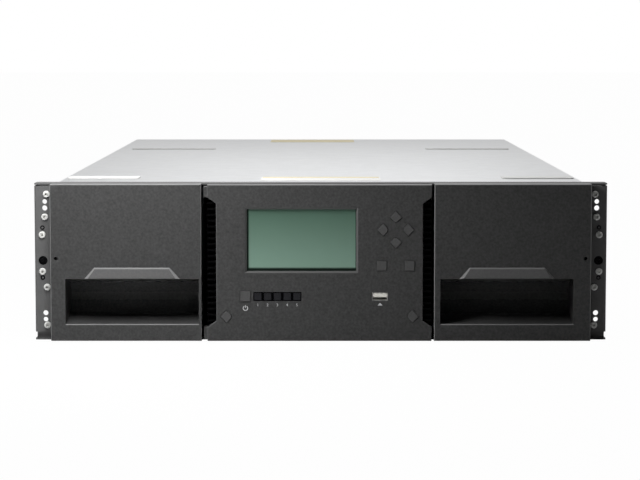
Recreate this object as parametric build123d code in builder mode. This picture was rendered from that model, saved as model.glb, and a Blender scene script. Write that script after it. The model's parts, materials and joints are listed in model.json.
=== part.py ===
"""Data tape library for a 19-inch rack, three rack units high.

Millimetres, +Z up, front toward -Y, origin at the middle of the underside.
Every piece is modelled in its own place: steel body, operator panel with its
keys, two tape magazines that slide out at the front, the robot that runs in
the aisle between them, and the drive, power and controller modules at the rear.
"""
import os

from build123d import *

os.makedirs("parts", exist_ok=True)

# Rack sizes
rack_width = 482.6      # over the rack ears, the width of a 19-inch panel
rack_height = 44.45       # one unit of height in a rack
units = 3
unit_gap = 0.85         # left free below the next unit
ear_width = 18.3        # each ear, beside the body
body_depth = 830.0      # front of the ears to the rear frame
bezel_proud = 14.0      # front bezels stand this far in front of the ears
grip_proud = 3.0        # finger grip in front of the bezels
handle_proud = 26.0     # rear handles behind the rear frame
centre_rise = 0.95      # centre of the rack holes above the middle of the front

# Sheet and clearances
sheet = 1.2             # steel sheet of the body
cover_sheet = 0.8       # sheet of the top cover
ear_sheet = 2.0         # folded channel of the rack ears
slide_gap = 0.3         # between a sliding piece and its guide
turn_gap = 0.15         # between a turning or guided pin and its bore
key_gap = 0.35          # around a key in the panel

# Places that follow from them
unit_height = units * rack_height - unit_gap
overall_depth = grip_proud + bezel_proud + body_depth + handle_proud
ear_y = grip_proud + bezel_proud - overall_depth / 2
face_y = ear_y - bezel_proud
rear_y = ear_y + body_depth
half_rack = rack_width / 2
half_body = half_rack - ear_width
wall_in = half_body - sheet
wall_top = unit_height - sheet
wall_height = wall_top - sheet
rack_centre = unit_height / 2 + centre_rise

# Front rails, walls and top cover
rail_depth = 20.0       # dark front rails, front to back
tab_back = 2.5          # end flanges of the rails behind the faces of the ears
tab_inset = 1.3
vent_slot = 20.0        # cooling slots in the side walls
vent_slot_width = 4.0
vent_slot_spacing = 14.0
vent_slot_count = 11
pad_thick = 0.9         # pads for the next unit on the cover
front_pad_width = 62.0
front_pad_depth = 26.0
front_pad_edge = 2.5    # body side to pad
front_pad_from_ear = 78.0
rear_pad_width = 92.0
rear_pad_depth = 12.0
rear_pad_edge = 15.0
rear_pad_from_ear = 589.0
pad_round = 3.0
rail_y = ear_y + rail_depth
front_pad_x = half_body - front_pad_edge - front_pad_width / 2
rear_pad_x = half_body - rear_pad_edge - rear_pad_width / 2

# Rack ears: places are measured in from the outer edge and up from the centre
ear_low = 6.7           # underside of the ear plate
ear_head = 1.0          # top of the ear plate to the upper rail
ear_leg = 22.0          # legs of the channel, front to back
rack_hole_inset = 8.75
rack_hole_r = 2.2
pin_hole_offset = 5.45    # pin holes beyond the rack holes
pin_hole_r = 2.0
captive_inset = 6.9
captive_hole_r = 3.8
captive_collar = 0.8    # collar behind the ear, wider than the hole
captive_length = 24.0
captive_r = 2.5
screw_r = 1.65          # tapped holes for small screws
small_far = 10.3        # insets of the three columns of tapped holes
small_mid = 8.8
small_near = 6.5
small_holes_at = ((small_far, 1.262), (small_mid, 0.832), (small_near, 0.493),
                  (small_near, -0.207), (small_far, -0.508), (small_far, -1.231))
ear_high = wall_top - ear_head
rack_hole_x = half_rack - rack_hole_inset
pin_hole_rise = rack_height + pin_hole_offset
captive_x = half_rack - captive_inset
small_holes_xz = [(half_rack - inset, rack_centre + rise * rack_height) for inset, rise in small_holes_at]

# Front bezels
bezel_low = 0.6
panel_drop = 0.5        # top of the panel below the magazine bezels
bezel_wall = 2.5
bezel_edge = 0.55       # bright chamfer round the front
bezel_over = 3.6        # magazine bezels reach past the body's sides
bezel_clear = 0.5       # magazine bezel to ears
bezel_high = unit_height
panel_high = bezel_high - panel_drop
bezel_half = half_body + bezel_over
panel_x = -1.0          # middle of the operator panel, left of the rack's middle
panel_half = 94.1       # half width of the operator panel's face
ledge = 2.9             # set-back ledge along the panel's left side, above and below the vent
ledge_back = 1.2
ledge_trim = 1.7        # ledge ends short of the panel's top and bottom
seam_gap = 2.1          # panel to magazine bezels
left_edge = panel_half - panel_x + ledge + seam_gap     # inner edges of the magazine bezels
right_edge = panel_half + panel_x + seam_gap

# Finger pocket and grip of a magazine bezel
pocket_outer = 13.3     # outer edge of the bezel to the pocket
pocket_gap = 7.2        # side of the panel to the pocket
pocket_low = 14.9
pocket_high = 53.0
pocket_depth = 44.0
pocket_wall = 2.0
pocket_lip = 0.7
grip_high = 62.6
grip_top_proud = 1.5
grip_taper = 35.0
pin_release_inset = 4.6
pin_release_r = 1.6
half_turn = 180.0
pocket_mid = (pocket_low + pocket_high) / 2
pocket_half = (pocket_high - pocket_low) / 2
pocket_width = bezel_half - pocket_outer - panel_half - pocket_gap
pocket_x = panel_half + pocket_gap + pocket_width / 2
grip_low_width = 0.715 * pocket_width
grip_high_width = 0.564 * pocket_width
pin_release_x = bezel_half - pin_release_inset
pin_release_z = 0.529 * unit_height

# Side vents of the panel
vent_deep = 7.5         # notch in the panel's side
vent_low = 12.4
vent_head = 10.8
vent_slope = 5.3
fin_spacing = 4.95
fin_thick = 1.4
fin_back = 3.0          # fins behind the panel's face
grille_back = 1.5
vent_x = panel_half - vent_deep
vent_high = unit_height - vent_head

# Screen, between the left edge and the cursor keys
screen_from_left = 31.6
screen_from_right = 61.8
screen_left = panel_x + screen_from_left - panel_half
screen_right = panel_x + panel_half - screen_from_right
screen_x = (screen_left + screen_right) / 2
screen_width = screen_right - screen_left
screen_z = 0.6453 * unit_height
screen_height = 0.4151 * unit_height
screen_bevel = 1.6      # sloping frame round the glass
screen_rim = 2.0        # glass behind the wall
glass_thick = 1.2
board_front = 9.0       # board behind the panel's face
board_thick = 1.6
board_clear = 1.0
boss_r = 3.0
boss_inset = 6.5
boss_edge = 9.0

# Keys
key_proud = 0.7
key_edge = 0.35
key_travel = 0.8
key_rim = 0.7           # collar behind the wall
collar = 1.0
stem_r = 1.6
stem_gap = 0.1          # stem to switch when the key is pressed home
switch_size = 5.0
switch_height = 1.1
corner_up = 45.0        # turn of the keys that stand on a corner
cursor_inset = 30.2
cursor_x = panel_x + panel_half - cursor_inset
cursor_z = 0.7125 * unit_height
cursor_reach = 10.5
cursor_size = 7.2
cursor_round = 3.0
square_size = 8.2
square_x = 11.6         # each side of the cursor keys' middle
square_z = 0.4838 * unit_height
power_size = 8.6
power_inset = 31.9
power_x = panel_x + power_inset - panel_half
power_z = 0.2898 * unit_height
release_size = 7.5
release_inset = 16.0
release_x = panel_half - release_inset
release_z = 0.1615 * unit_height

# Status window and USB socket
status_offset = 26.8      # power key to the middle of the window
status_drop = 0.2
status_x = power_x + status_offset
status_z = power_z - status_drop
status_width = 40.4
status_height = 7.7
status_spacing = 8.2
status_count = 5
status_rim = 0.8
status_back = 0.15      # set back from the panel's face
lens_size = 5.9
lens_gap = 0.05
usb_inset = 43.3
usb_x = panel_x + panel_half - usb_inset
usb_z = status_z
usb_width = 13.0
usb_height = 6.7
usb_wall = 0.4
usb_depth = 13.0
usb_back = 0.3
tongue_width = 11.0
tongue_thick = 1.9
tongue_rise = 1.2
tongue_back = 2.0

# Magazines: four columns of five slots for half-inch tape cartridges
columns = 4
rows = 5
slot_width = 103.6      # cartridge of 102 with play
divider = 3.0
ledge_thick = 1.5
ledge_width = 6.5
ledge_end = 3.0         # ledges stop short at both ends
column_back = 52.0      # first column behind the bezel's face
magazine_play = 1.3     # outer wall to side wall
magazine_wall = 2.0
magazine_base = 1.5
magazine_head = 2.8     # free above the magazine
runner_height = 3.0     # slide rails on the floor
runner_width = 8.0
runner_inset = 12.0
magazine_offset = 6.4   # panel's side to the open side, toward the aisle
base_inset = 2.5        # base behind the open side
slot_rise = 4.5         # base to the floor of the lowest slot
magazine_in = panel_half + magazine_offset
magazine_out = wall_in - magazine_play
magazine_low = sheet + runner_height + slide_gap
magazine_floor = magazine_low + magazine_base
magazine_high = wall_top - magazine_head
first_slot = magazine_floor + slot_rise
slot_spacing = (magazine_high - first_slot) / rows
column_y = face_y + column_back
column_spacing = slot_width + divider
magazine_end = column_y + columns * column_spacing + divider

# Rear modules
frame_sheet = 1.5
face_plate = 1.5
module_gap = 0.5        # module to the edge of its opening
module_rim = 3.0        # face plates overlap the frame
module_edge = 7.8       # frame left standing beside a module
bays = 3
bay_spacing = wall_height / bays
bay_inset = 14.1        # bay walls inside the panel's edges
bay_play = 5.0          # drive to bay wall
bay_head = 2.3          # free above each drive
bay_wall_x = panel_half - bay_inset
bay_wall_back = 6.0     # bay walls start behind the drive's mouth
drive_width = 2 * (bay_wall_x - bay_play)
drive_height = bay_spacing - bay_head
drive_length = 205.0
drive_back = 30.0       # rear interface box of the drive's sled
drive_wall = 2.0
drive_rim = 0.6
mouth_width = 106.0
mouth_height = 25.0
mouth_drop = 1.0        # mouth starts below the cradle's floor
data_port_x = 45.0
data_port_width = 26.0
data_port_height = 11.0
data_port_depth = 9.0
cover_slot = 22.0       # cooling slots in the covers of the free bays
cover_slot_width = 3.5
cover_slot_spacing = 9.0
cover_slot_count = 13
frame_y = rear_y - frame_sheet
drive_y = frame_y - drive_back - drive_length
drive_low = sheet + slide_gap
supply_length = 200.0
supply_width = wall_in - bay_wall_x - sheet - 2 * module_edge
supply_x = -(bay_wall_x + sheet + wall_in) / 2
supply_rim = 1.5
shelf_z = sheet + wall_height / 2 - sheet
supply_low = sheet + slide_gap
supply_high = shelf_z + sheet + slide_gap
supply_head = 4.0       # free above each supply
supply_height = shelf_z - supply_low - supply_head
fan_x = 0.224 * supply_width
fan_r = 0.192 * supply_width
inlet_x = -0.32 * supply_width
fan_gap = 1.5           # blade tips to the opening's edge
fan_back = 4.0          # rotor behind the face plate
fan_depth = 12.0
fan_blades = 7
hub_r = 9.0
shaft_r = 2.0
bracket_width = 10.0
bracket_thick = 2.0
vane_width = 12.0
vane_thick = 1.2
vane_sink = 1.0         # blade roots inside the hub
vane_root = 35.0        # lean of the blade at its root and tip
vane_tip = 55.0
full_turn = 360.0
inlet_width = 28.0
inlet_height = 21.0
inlet_fit = 0.2
inlet_flange = 1.2
inlet_rim = 2.0
inlet_deep = 16.0
inlet_wall = 1.6
inlet_cut = 4.5
blade_width = 2.0
blade_height = 4.0
blade_length = 11.0
blade_x = 7.0
blade_z = 2.0
handle_x = -0.112 * supply_width
handle_r = 3.0
handle_bend = 7.0
handle_edge = 9.0       # handle's feet from the top and bottom of the plate
controller_x = -supply_x
controller_head = 9.0   # free above the controller
controller_height = wall_height - controller_head
jack_z = supply_low + 0.75 * controller_height
jack_block_width = 0.72 * supply_width
jack_block_height = 20.0
jack_block_depth = 14.0
jack_depth = 12.0
jack_width = 16.0
jack_height = 13.5
jacks_x = (-0.24 * supply_width, -0.064 * supply_width)
socket_x = 0.112 * supply_width
socket_width = 13.4
socket_height = 6.0

# Robot: a carriage on the floor, a lift on four posts, a turning cradle, a gripper
robot_y = column_y + divider + slot_width / 2
ring_clear = 4.5        # carriage to magazines
ring_side = 8.0         # carriage at both sides of the posts
post_x = magazine_in - ring_clear - ring_side
post_y = 66.0
post_r = 3.5
post_top = wall_top - magazine_head
ring_half_x = magazine_in - ring_clear
ring_half_y = post_y + ring_side
ring_open_x = post_x - ring_side
ring_open_y = post_y - ring_side
guide_height = 1.6      # robot rails on the floor
guide_width = 6.0
shoe_width = 2.5
shoe_length = 16.0
shoe_clear = 0.4        # shoes to floor
ring_low = sheet + guide_height + slide_gap
ring_thick = 3.5
ring_top = ring_low + ring_thick
screw_offset = 16.0      # post to lift screw
screw_x = screw_offset - post_x
lift_screw_r = 4.0
motor_size = 22.0
motor_round = 3.0
motor_height = 40.0
motor_nose = 2.0
motor_nose_r = 8.0
motor_offset = 12.0       # screw and carriage's edge to the motor's axis
motor_x = screw_x - motor_offset
motor_y = ring_half_y + motor_offset
platform_low = 2.0
platform_thick = 3.0
platform_clear = 1.0    # platform to the carriage around it
stalk = 4.5             # corner stalks of the platform
arm_clear = 0.6         # arms pass over the carriage
arm_height = 7.0
arm_low = ring_top + arm_clear
arm_high = arm_low + arm_height
arm_half = 2.5
sleeve_wall = 3.0
sleeve_height = 20.0
pivot_r = 8.0
table_low = platform_low + platform_thick + slide_gap
table_thick = 3.0
cradle_side = 11.0      # cradle to the lift screw's sleeve
cradle_half_x = -screw_x - lift_screw_r - sleeve_wall - cradle_side
cradle_half_y = 74.0
table_edge = 6.0        # table inside the carriage's opening
table_r = min(ring_open_x, ring_open_y) - table_edge
cradle_wall = 1.5
cradle_base = 1.7
cradle_depth = 24.0
cradle_low = table_low + table_thick
cradle_floor = cradle_low + cradle_base
cradle_top = cradle_floor + cradle_depth
gripper_edge = 2.0      # gripper inside the cradle's rear end
gripper_back = cradle_half_y - gripper_edge
gripper_half = 16.0
gripper_block = 20.0
gripper_length = 38.0
gripper_thick = 10.0
finger = 3.0
hook = 2.0


def front(y):
    """Upright plane at depth y that faces the front; its axes are X and Z."""
    return Plane.XZ.offset(-y)


def save(piece, node):
    """Name a finished piece and write it."""
    piece.part.label = node
    export_step(piece.part, f"parts/{node}.step")


def slab(x0, x1, y0, y1, z0, z1):
    """Plain plate between two corners."""
    with BuildPart() as plate:
        with BuildSketch(Plane.XY.offset(z0)):
            with Locations(((x0 + x1) / 2, (y0 + y1) / 2)):
                Rectangle(abs(x1 - x0), abs(y1 - y0))
        extrude(amount=z1 - z0)
    return plate


# Steel body
save(slab(-half_body, half_body, rail_y, rear_y, 0, sheet), "floor_pan")


def side_wall(side):
    """Side wall with three rows of cooling slots beside the rear modules."""
    with BuildPart() as wall:
        with BuildSketch(Plane.YZ.offset(side * half_body)):
            with Locations(((ear_y + rear_y) / 2, unit_height / 2)):
                Rectangle(body_depth, wall_height)
            with Locations((rear_y - supply_length / 2, unit_height / 2)):
                with GridLocations(vent_slot_spacing, 1.5 * vent_slot, vent_slot_count, 3):
                    SlotOverall(vent_slot, vent_slot_width, rotation=90, mode=Mode.SUBTRACT)
        extrude(amount=-side * sheet)
    return wall


save(side_wall(-1), "left_side_wall")
save(side_wall(1), "right_side_wall")

save(slab(-half_body, half_body, rail_y, rear_y, wall_top, wall_top + cover_sheet), "top_cover")

with BuildPart() as stacking_pads:
    with BuildSketch(Plane.XY.offset(wall_top + cover_sheet)):
        for side in (-1, 1):
            with Locations((side * front_pad_x, ear_y + front_pad_from_ear)):
                RectangleRounded(front_pad_width, front_pad_depth, pad_round)
            with Locations((side * rear_pad_x, ear_y + rear_pad_from_ear)):
                RectangleRounded(rear_pad_width, rear_pad_depth, pad_round)
    extrude(amount=pad_thick)
save(stacking_pads, "stacking_pads")


def front_rail(base, tab_low, tab_high):
    """Rail across the front; a flange at each end meets the ear, a little behind its face."""
    tab_width = ear_width - tab_inset
    with BuildPart() as rail:
        with BuildSketch(Plane.XY.offset(base)):
            with Locations((0, (ear_y + rail_y) / 2)):
                RectangleRounded(rack_width, rail_depth, ear_sheet)
        extrude(amount=sheet)
        with BuildSketch(Plane.XY.offset(tab_low)):
            for side in (-1, 1):
                with Locations((side * (half_body + tab_width / 2), ear_y + tab_back + ear_sheet / 2)):
                    Rectangle(tab_width, ear_sheet)
        extrude(amount=tab_high - tab_low)
    return rail


save(front_rail(wall_top, ear_high, wall_top), "front_top_rail")
save(front_rail(0, sheet, ear_low), "front_bottom_rail")


def rack_ear(side):
    """Folded channel with rack holes, screw holes and the captive screw's hole."""
    middle = side * (half_body + half_rack) / 2
    width = half_rack - half_body
    with BuildPart() as ear:
        with BuildSketch(Plane.XY.offset(ear_low)) as channel:
            with Locations((middle, ear_y + ear_leg / 2)):
                Rectangle(width, ear_leg)
            fillet(channel.vertices().group_by(Axis.Y)[0], ear_sheet)
            with Locations((middle, ear_y + ear_sheet + ear_leg / 2)):
                Rectangle(width - 2 * ear_sheet, ear_leg, mode=Mode.SUBTRACT)
        extrude(amount=ear_high - ear_low)
        with BuildSketch(front(ear_y)):
            for rise in (rack_height, -rack_height):
                with Locations((side * rack_hole_x, rack_centre + rise)):
                    Circle(rack_hole_r)
            for rise in (pin_hole_rise, -pin_hole_rise):
                with Locations((side * rack_hole_x, rack_centre + rise)):
                    Circle(pin_hole_r)
            with Locations((side * captive_x, rack_centre)):
                Circle(captive_hole_r)
            for x, z in small_holes_xz:
                with Locations((side * x, z)):
                    Circle(screw_r)
        extrude(amount=-2 * ear_sheet, mode=Mode.SUBTRACT)
    return ear


save(rack_ear(-1), "left_rack_ear")
save(rack_ear(1), "right_rack_ear")

# Captive screw: head in the ear's hole, collar behind the ear, long shank
head_r = captive_hole_r - slide_gap
collar_r = captive_hole_r + captive_collar
with BuildPart() as rack_screws:
    for side in (-1, 1):
        with BuildSketch(Plane((side * captive_x, ear_y, rack_centre))):
            with BuildLine():
                Polyline(
                    (0, ear_sheet / 4), (head_r, ear_sheet / 2), (head_r, ear_sheet), (collar_r, ear_sheet),
                    (collar_r, 2 * ear_sheet), (captive_r, 2 * ear_sheet),
                    (captive_r, captive_length - captive_r / 2), (captive_r / 2, captive_length),
                    (0, captive_length), close=True,
                )
            make_face()
        revolve(axis=Axis((side * captive_x, ear_y, rack_centre), (0, 1, 0)))
save(rack_screws, "rack_screws")

# Rear frame with an opening for each module
with BuildPart() as rear_frame:
    with BuildSketch(front(rear_y)):
        with Locations((0, (sheet + wall_top) / 2)):
            Rectangle(2 * wall_in, wall_height)
        for base in (supply_low, supply_high):
            with Locations((supply_x, base + supply_height / 2)):
                Rectangle(supply_width + 2 * module_gap, supply_height + 2 * module_gap, mode=Mode.SUBTRACT)
        for bay in range(bays):
            with Locations((0, sheet + bay * bay_spacing + drive_height / 2 + slide_gap)):
                Rectangle(drive_width + 2 * module_gap, drive_height + 2 * slide_gap, mode=Mode.SUBTRACT)
        with Locations((controller_x, supply_low + controller_height / 2)):
            Rectangle(supply_width + 2 * module_gap, controller_height + 2 * module_gap, mode=Mode.SUBTRACT)
    extrude(amount=frame_sheet)
save(rear_frame, "rear_frame")

save(slab(panel_x - panel_half, panel_x + panel_half, ear_y, ear_y + face_plate, sheet, wall_top),
     "panel_back_plate")

with BuildPart() as drive_bay_walls:
    with BuildSketch(Plane.XY.offset(sheet)):
        for side in (-1, 1):
            with Locations((side * (bay_wall_x + sheet / 2), (drive_y + bay_wall_back + frame_y) / 2)):
                Rectangle(sheet, frame_y - drive_y - bay_wall_back)
    extrude(amount=wall_height)
save(drive_bay_walls, "drive_bay_walls")

save(slab(-wall_in, -bay_wall_x - sheet, rear_y - supply_length, frame_y, shelf_z, shelf_z + sheet),
     "supply_shelf")

# Low-friction rails on the floor under the magazines
with BuildPart() as magazine_rails:
    with BuildSketch(Plane.XY.offset(sheet)):
        for x in (magazine_in + runner_inset, magazine_out - runner_inset):
            for side in (-1, 1):
                with Locations((side * x, (ear_y + ear_sheet + magazine_end) / 2)):
                    Rectangle(runner_width, magazine_end - ear_y - ear_sheet)
    extrude(amount=runner_height)
save(magazine_rails, "magazine_rails")

with BuildPart() as robot_rails:
    with BuildSketch(Plane.XY.offset(sheet)):
        for side in (-1, 1):
            with Locations((side * post_x, (ear_y + ear_sheet + drive_y) / 2)):
                Rectangle(guide_width, drive_y - ear_y - ear_sheet)
    extrude(amount=guide_height)
save(robot_rails, "robot_rails")


# Operator panel
notch = [(panel_half, vent_low), (vent_x, vent_low + vent_slope),
         (vent_x, vent_high - vent_slope), (panel_half, vent_high)]


def panel_outline():
    """Panel seen from the front, with a notch at each side for the vents."""
    right = [(panel_half, bezel_low), *notch, (panel_half, panel_high)]
    left = [(-x, z) for x, z in reversed(right)]
    with BuildSketch() as outline:
        with BuildLine():
            Polyline(*right, *left, close=True)
        make_face()
    return outline.sketch


def key_outline(size, rounded=None, turn=0.0):
    """Square key; a turned one has the corner toward its group rounded off."""
    with BuildSketch() as outline:
        Rectangle(size, size, rotation=turn)
        if rounded is not None:
            toward = outline.vertices().sort_by(Axis((0, 0, 0), rounded))[-1]
            fillet(toward, cursor_round)
    return outline.sketch


keys = {
    "up_key": (cursor_x, cursor_z + cursor_reach, key_outline(cursor_size, (0, -1, 0), corner_up)),
    "down_key": (cursor_x, cursor_z - cursor_reach, key_outline(cursor_size, (0, 1, 0), corner_up)),
    "left_key": (cursor_x - cursor_reach, cursor_z, key_outline(cursor_size, (1, 0, 0), corner_up)),
    "right_key": (cursor_x + cursor_reach, cursor_z, key_outline(cursor_size, (-1, 0, 0), corner_up)),
    "back_key": (cursor_x - square_x, square_z, key_outline(square_size)),
    "enter_key": (cursor_x + square_x, square_z, key_outline(square_size)),
    "power_key": (power_x, power_z, key_outline(power_size)),
    "left_release_key": (panel_x - release_x, release_z, key_outline(release_size, (1, 0, 0), corner_up)),
    "right_release_key": (panel_x + release_x, release_z, key_outline(release_size, (-1, 0, 0), corner_up)),
}

window_width = screen_width - 2 * screen_bevel
window_height = screen_height - 2 * screen_bevel
with BuildPart() as panel_bezel:
    with BuildSketch(front(face_y)):
        with Locations((panel_x, 0)):
            add(panel_outline())
    extrude(amount=-bezel_proud)
    chamfer(panel_bezel.faces().sort_by(Axis.Y)[0].edges(), bezel_edge)
    # Hollow behind the face
    inner = offset(panel_outline(), amount=-bezel_wall, kind=Kind.INTERSECTION, mode=Mode.PRIVATE)
    with BuildSketch(front(face_y + bezel_wall)):
        with Locations((panel_x, 0)):
            add(inner)
    extrude(amount=bezel_wall - bezel_proud, mode=Mode.SUBTRACT)
    # Bosses for the board
    with BuildSketch(front(face_y + bezel_wall)):
        for x in (boss_inset - vent_x, vent_x - boss_inset):
            for z in (bezel_low + boss_edge, panel_high - boss_edge):
                with Locations((panel_x + x, z)):
                    Circle(boss_r)
    extrude(amount=bezel_wall - board_front)
    # Ledge along the left side
    with BuildSketch(front(face_y + ledge_back)):
        for low, high in ((bezel_low + ledge_trim, vent_low), (vent_high, panel_high - ledge_trim)):
            with Locations((panel_x - panel_half - ledge / 2, (low + high) / 2)):
                Rectangle(ledge, high - low)
    extrude(amount=ledge_back - bezel_proud)
    # Window of the screen with its sloping frame, then keys, status window and socket
    with BuildSketch(front(face_y)):
        with Locations((screen_x, screen_z)):
            Rectangle(window_width, window_height)
    extrude(amount=-bezel_wall, mode=Mode.SUBTRACT)
    chamfer(panel_bezel.faces().sort_by(Axis.Y)[0].inner_wires()[0].edges(), screen_bevel)
    with BuildSketch(front(face_y)):
        for x, z, outline in keys.values():
            with Locations((x, z)):
                add(offset(outline, amount=key_gap, kind=Kind.INTERSECTION, mode=Mode.PRIVATE))
        with Locations((status_x, status_z)):
            Rectangle(status_width, status_height)
        with Locations((usb_x, usb_z)):
            Rectangle(usb_width + 2 * key_gap, usb_height + 2 * key_gap)
    extrude(amount=-bezel_wall, mode=Mode.SUBTRACT)
save(panel_bezel, "panel_bezel")

glass_y = face_y + bezel_wall
glass_w = window_width + 2 * screen_rim
glass_h = window_height + 2 * screen_rim
save(slab(screen_x - glass_w / 2, screen_x + glass_w / 2, glass_y, glass_y + glass_thick,
          screen_z - glass_h / 2, screen_z + glass_h / 2), "screen_glass")
save(slab(screen_x - glass_w / 2, screen_x + glass_w / 2, glass_y + glass_thick, face_y + board_front,
          screen_z - glass_h / 2, screen_z + glass_h / 2), "screen_module")

board_width = 2 * (vent_x - bezel_wall - slide_gap)
board_height = panel_high - bezel_low - 2 * (bezel_wall + board_clear)
with BuildPart() as panel_board:
    with BuildSketch(front(face_y + board_front)):
        with Locations((panel_x, (bezel_low + panel_high) / 2)):
            Rectangle(board_width, board_height)
        with Locations((usb_x, usb_z)):
            Rectangle(usb_width + 2 * board_clear, usb_height + 2 * board_clear, mode=Mode.SUBTRACT)
    extrude(amount=-board_thick)
    with BuildSketch(front(face_y + board_front)):
        for x, z, _ in keys.values():
            with Locations((x, z)):
                Rectangle(switch_size, switch_size)
    extrude(amount=switch_height)
save(panel_board, "panel_board")


def key(x, z, outline):
    """Cap in the panel, collar behind the wall and stem to the switch."""
    collar_y = face_y + bezel_wall + slide_gap
    stem_y = face_y + board_front - switch_height - key_travel - stem_gap
    with BuildPart() as cap:
        with BuildSketch(front(face_y - key_proud)):
            with Locations((x, z)):
                add(outline)
        extrude(amount=-(collar_y + collar - face_y + key_proud))
        chamfer(cap.faces().sort_by(Axis.Y)[0].edges(), key_edge)
        with BuildSketch(front(collar_y)):
            with Locations((x, z)):
                add(offset(outline, amount=key_rim, kind=Kind.ARC, mode=Mode.PRIVATE))
        extrude(amount=-collar)
        with BuildSketch(front(collar_y + collar)):
            with Locations((x, z)):
                Circle(stem_r)
        extrude(amount=-(stem_y - collar_y - collar))
    return cap


for node, (x, z, outline) in keys.items():
    save(key(x, z, outline), node)

with BuildPart() as status_window:
    with BuildSketch(front(face_y + status_back)):
        with Locations((status_x, status_z)):
            Rectangle(status_width - 2 * lens_gap, status_height - 2 * lens_gap)
    extrude(amount=status_back - bezel_wall)
    with BuildSketch(front(face_y + bezel_wall)):
        with Locations((status_x, status_z)):
            Rectangle(status_width + 2 * status_rim, status_height + 2 * status_rim)
    extrude(amount=-collar)
    with BuildSketch(front(face_y)):
        with Locations((status_x, status_z)):
            with GridLocations(status_spacing, 1, status_count, 1):
                Rectangle(lens_size + 2 * lens_gap, lens_size + 2 * lens_gap)
    extrude(amount=-2 * bezel_wall, mode=Mode.SUBTRACT)
save(status_window, "status_window")

with BuildPart() as status_lenses:
    with BuildSketch(front(face_y + 2 * status_back)):
        with Locations((status_x, status_z)):
            with GridLocations(status_spacing, 1, status_count, 1):
                Rectangle(lens_size, lens_size)
    extrude(amount=2 * status_back - board_front)
save(status_lenses, "status_lenses")

with BuildPart() as usb_socket:
    with BuildSketch(front(face_y + usb_back)):
        with Locations((usb_x, usb_z)):
            RectangleRounded(usb_width, usb_height, 1.5 * usb_wall)
            Rectangle(usb_width - 2 * usb_wall, usb_height - 2 * usb_wall, mode=Mode.SUBTRACT)
    extrude(amount=-usb_depth)
    with BuildSketch(front(face_y + usb_back + usb_depth - usb_wall)):
        with Locations((usb_x, usb_z)):
            Rectangle(usb_width - usb_wall, usb_height - usb_wall)
    extrude(amount=-usb_wall)
    # Contact tongue in the upper half
    with BuildSketch(front(face_y + tongue_back)):
        with Locations((usb_x, usb_z + tongue_rise)):
            Rectangle(tongue_width, tongue_thick)
    extrude(amount=tongue_back - usb_back - usb_depth + usb_wall)
save(usb_socket, "usb_socket")


# Combs of level fins in front of dark back strips, in the panel's notches
comb_width = panel_half - vent_x
comb_x = vent_x + comb_width / 2
comb_z = (vent_low + vent_high) / 2
comb_gaps = int((vent_high - vent_low) / fin_spacing)


def notch_outline(side):
    """Vent's notch as a sketch, at the left or right side."""
    with BuildSketch() as outline:
        with BuildLine():
            Polyline(*[(side * x, z) for x, z in notch], close=True)
        make_face()
    return outline.sketch


with BuildPart() as vent_grilles:
    for side in (-1, 1):
        with BuildSketch(front(face_y + bezel_proud - grille_back)):
            with Locations((panel_x, 0)):
                add(notch_outline(side))
        extrude(amount=-grille_back)
        with BuildSketch(front(face_y + fin_back)):
            with Locations((panel_x, 0)):
                add(notch_outline(side))
            with Locations((panel_x + side * comb_x, comb_z)):
                with GridLocations(1, fin_spacing, 1, comb_gaps):
                    Rectangle(comb_width, fin_spacing - fin_thick, mode=Mode.SUBTRACT)
        extrude(amount=fin_back - bezel_proud + grille_back)
save(vent_grilles, "vent_grilles")


# Magazines
def magazine_bezel(side, inner_edge):
    """Door of a magazine: hollow moulding with a scooped finger pocket."""
    middle = side * (inner_edge + bezel_half) / 2
    width = bezel_half - inner_edge
    height = bezel_high - bezel_low
    level = (bezel_low + bezel_high) / 2
    depth = bezel_proud - bezel_clear
    with BuildPart() as bezel:
        with BuildSketch(front(face_y)):
            with Locations((middle, level)):
                Rectangle(width, height)
        extrude(amount=-depth)
        chamfer(bezel.faces().sort_by(Axis.Y)[0].edges(), bezel_edge)
        with BuildSketch(front(face_y + bezel_wall)):
            with Locations((middle, level)):
                Rectangle(width - 2 * bezel_wall, height - 2 * bezel_wall)
        extrude(amount=bezel_wall - depth, mode=Mode.SUBTRACT)
        # Scoop: half an ellipse in side view, first its shell and then its hollow
        for grow, mode in ((pocket_wall, Mode.ADD), (0, Mode.SUBTRACT)):
            with BuildSketch(Plane.YZ.offset(panel_x + side * pocket_x)):
                with BuildLine():
                    scoop = EllipticalCenterArc((face_y, pocket_mid), pocket_depth + grow,
                                                pocket_half + grow, start_angle=-half_turn / 2,
                                                arc_size=half_turn)
                    Line(scoop @ 0, scoop @ 1)
                make_face()
            extrude(amount=pocket_width / 2 + grow, both=True, mode=mode)
        lip = bezel.edges().filter_by(Axis.X).sort_by(lambda edge: abs(edge.center().Z - pocket_low))[0]
        chamfer(lip, pocket_lip)
        # Release pin hole
        with BuildSketch(front(face_y)):
            with Locations((side * pin_release_x, pin_release_z)):
                Circle(pin_release_r)
        extrude(amount=-bezel_wall, mode=Mode.SUBTRACT)
    return bezel


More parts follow.
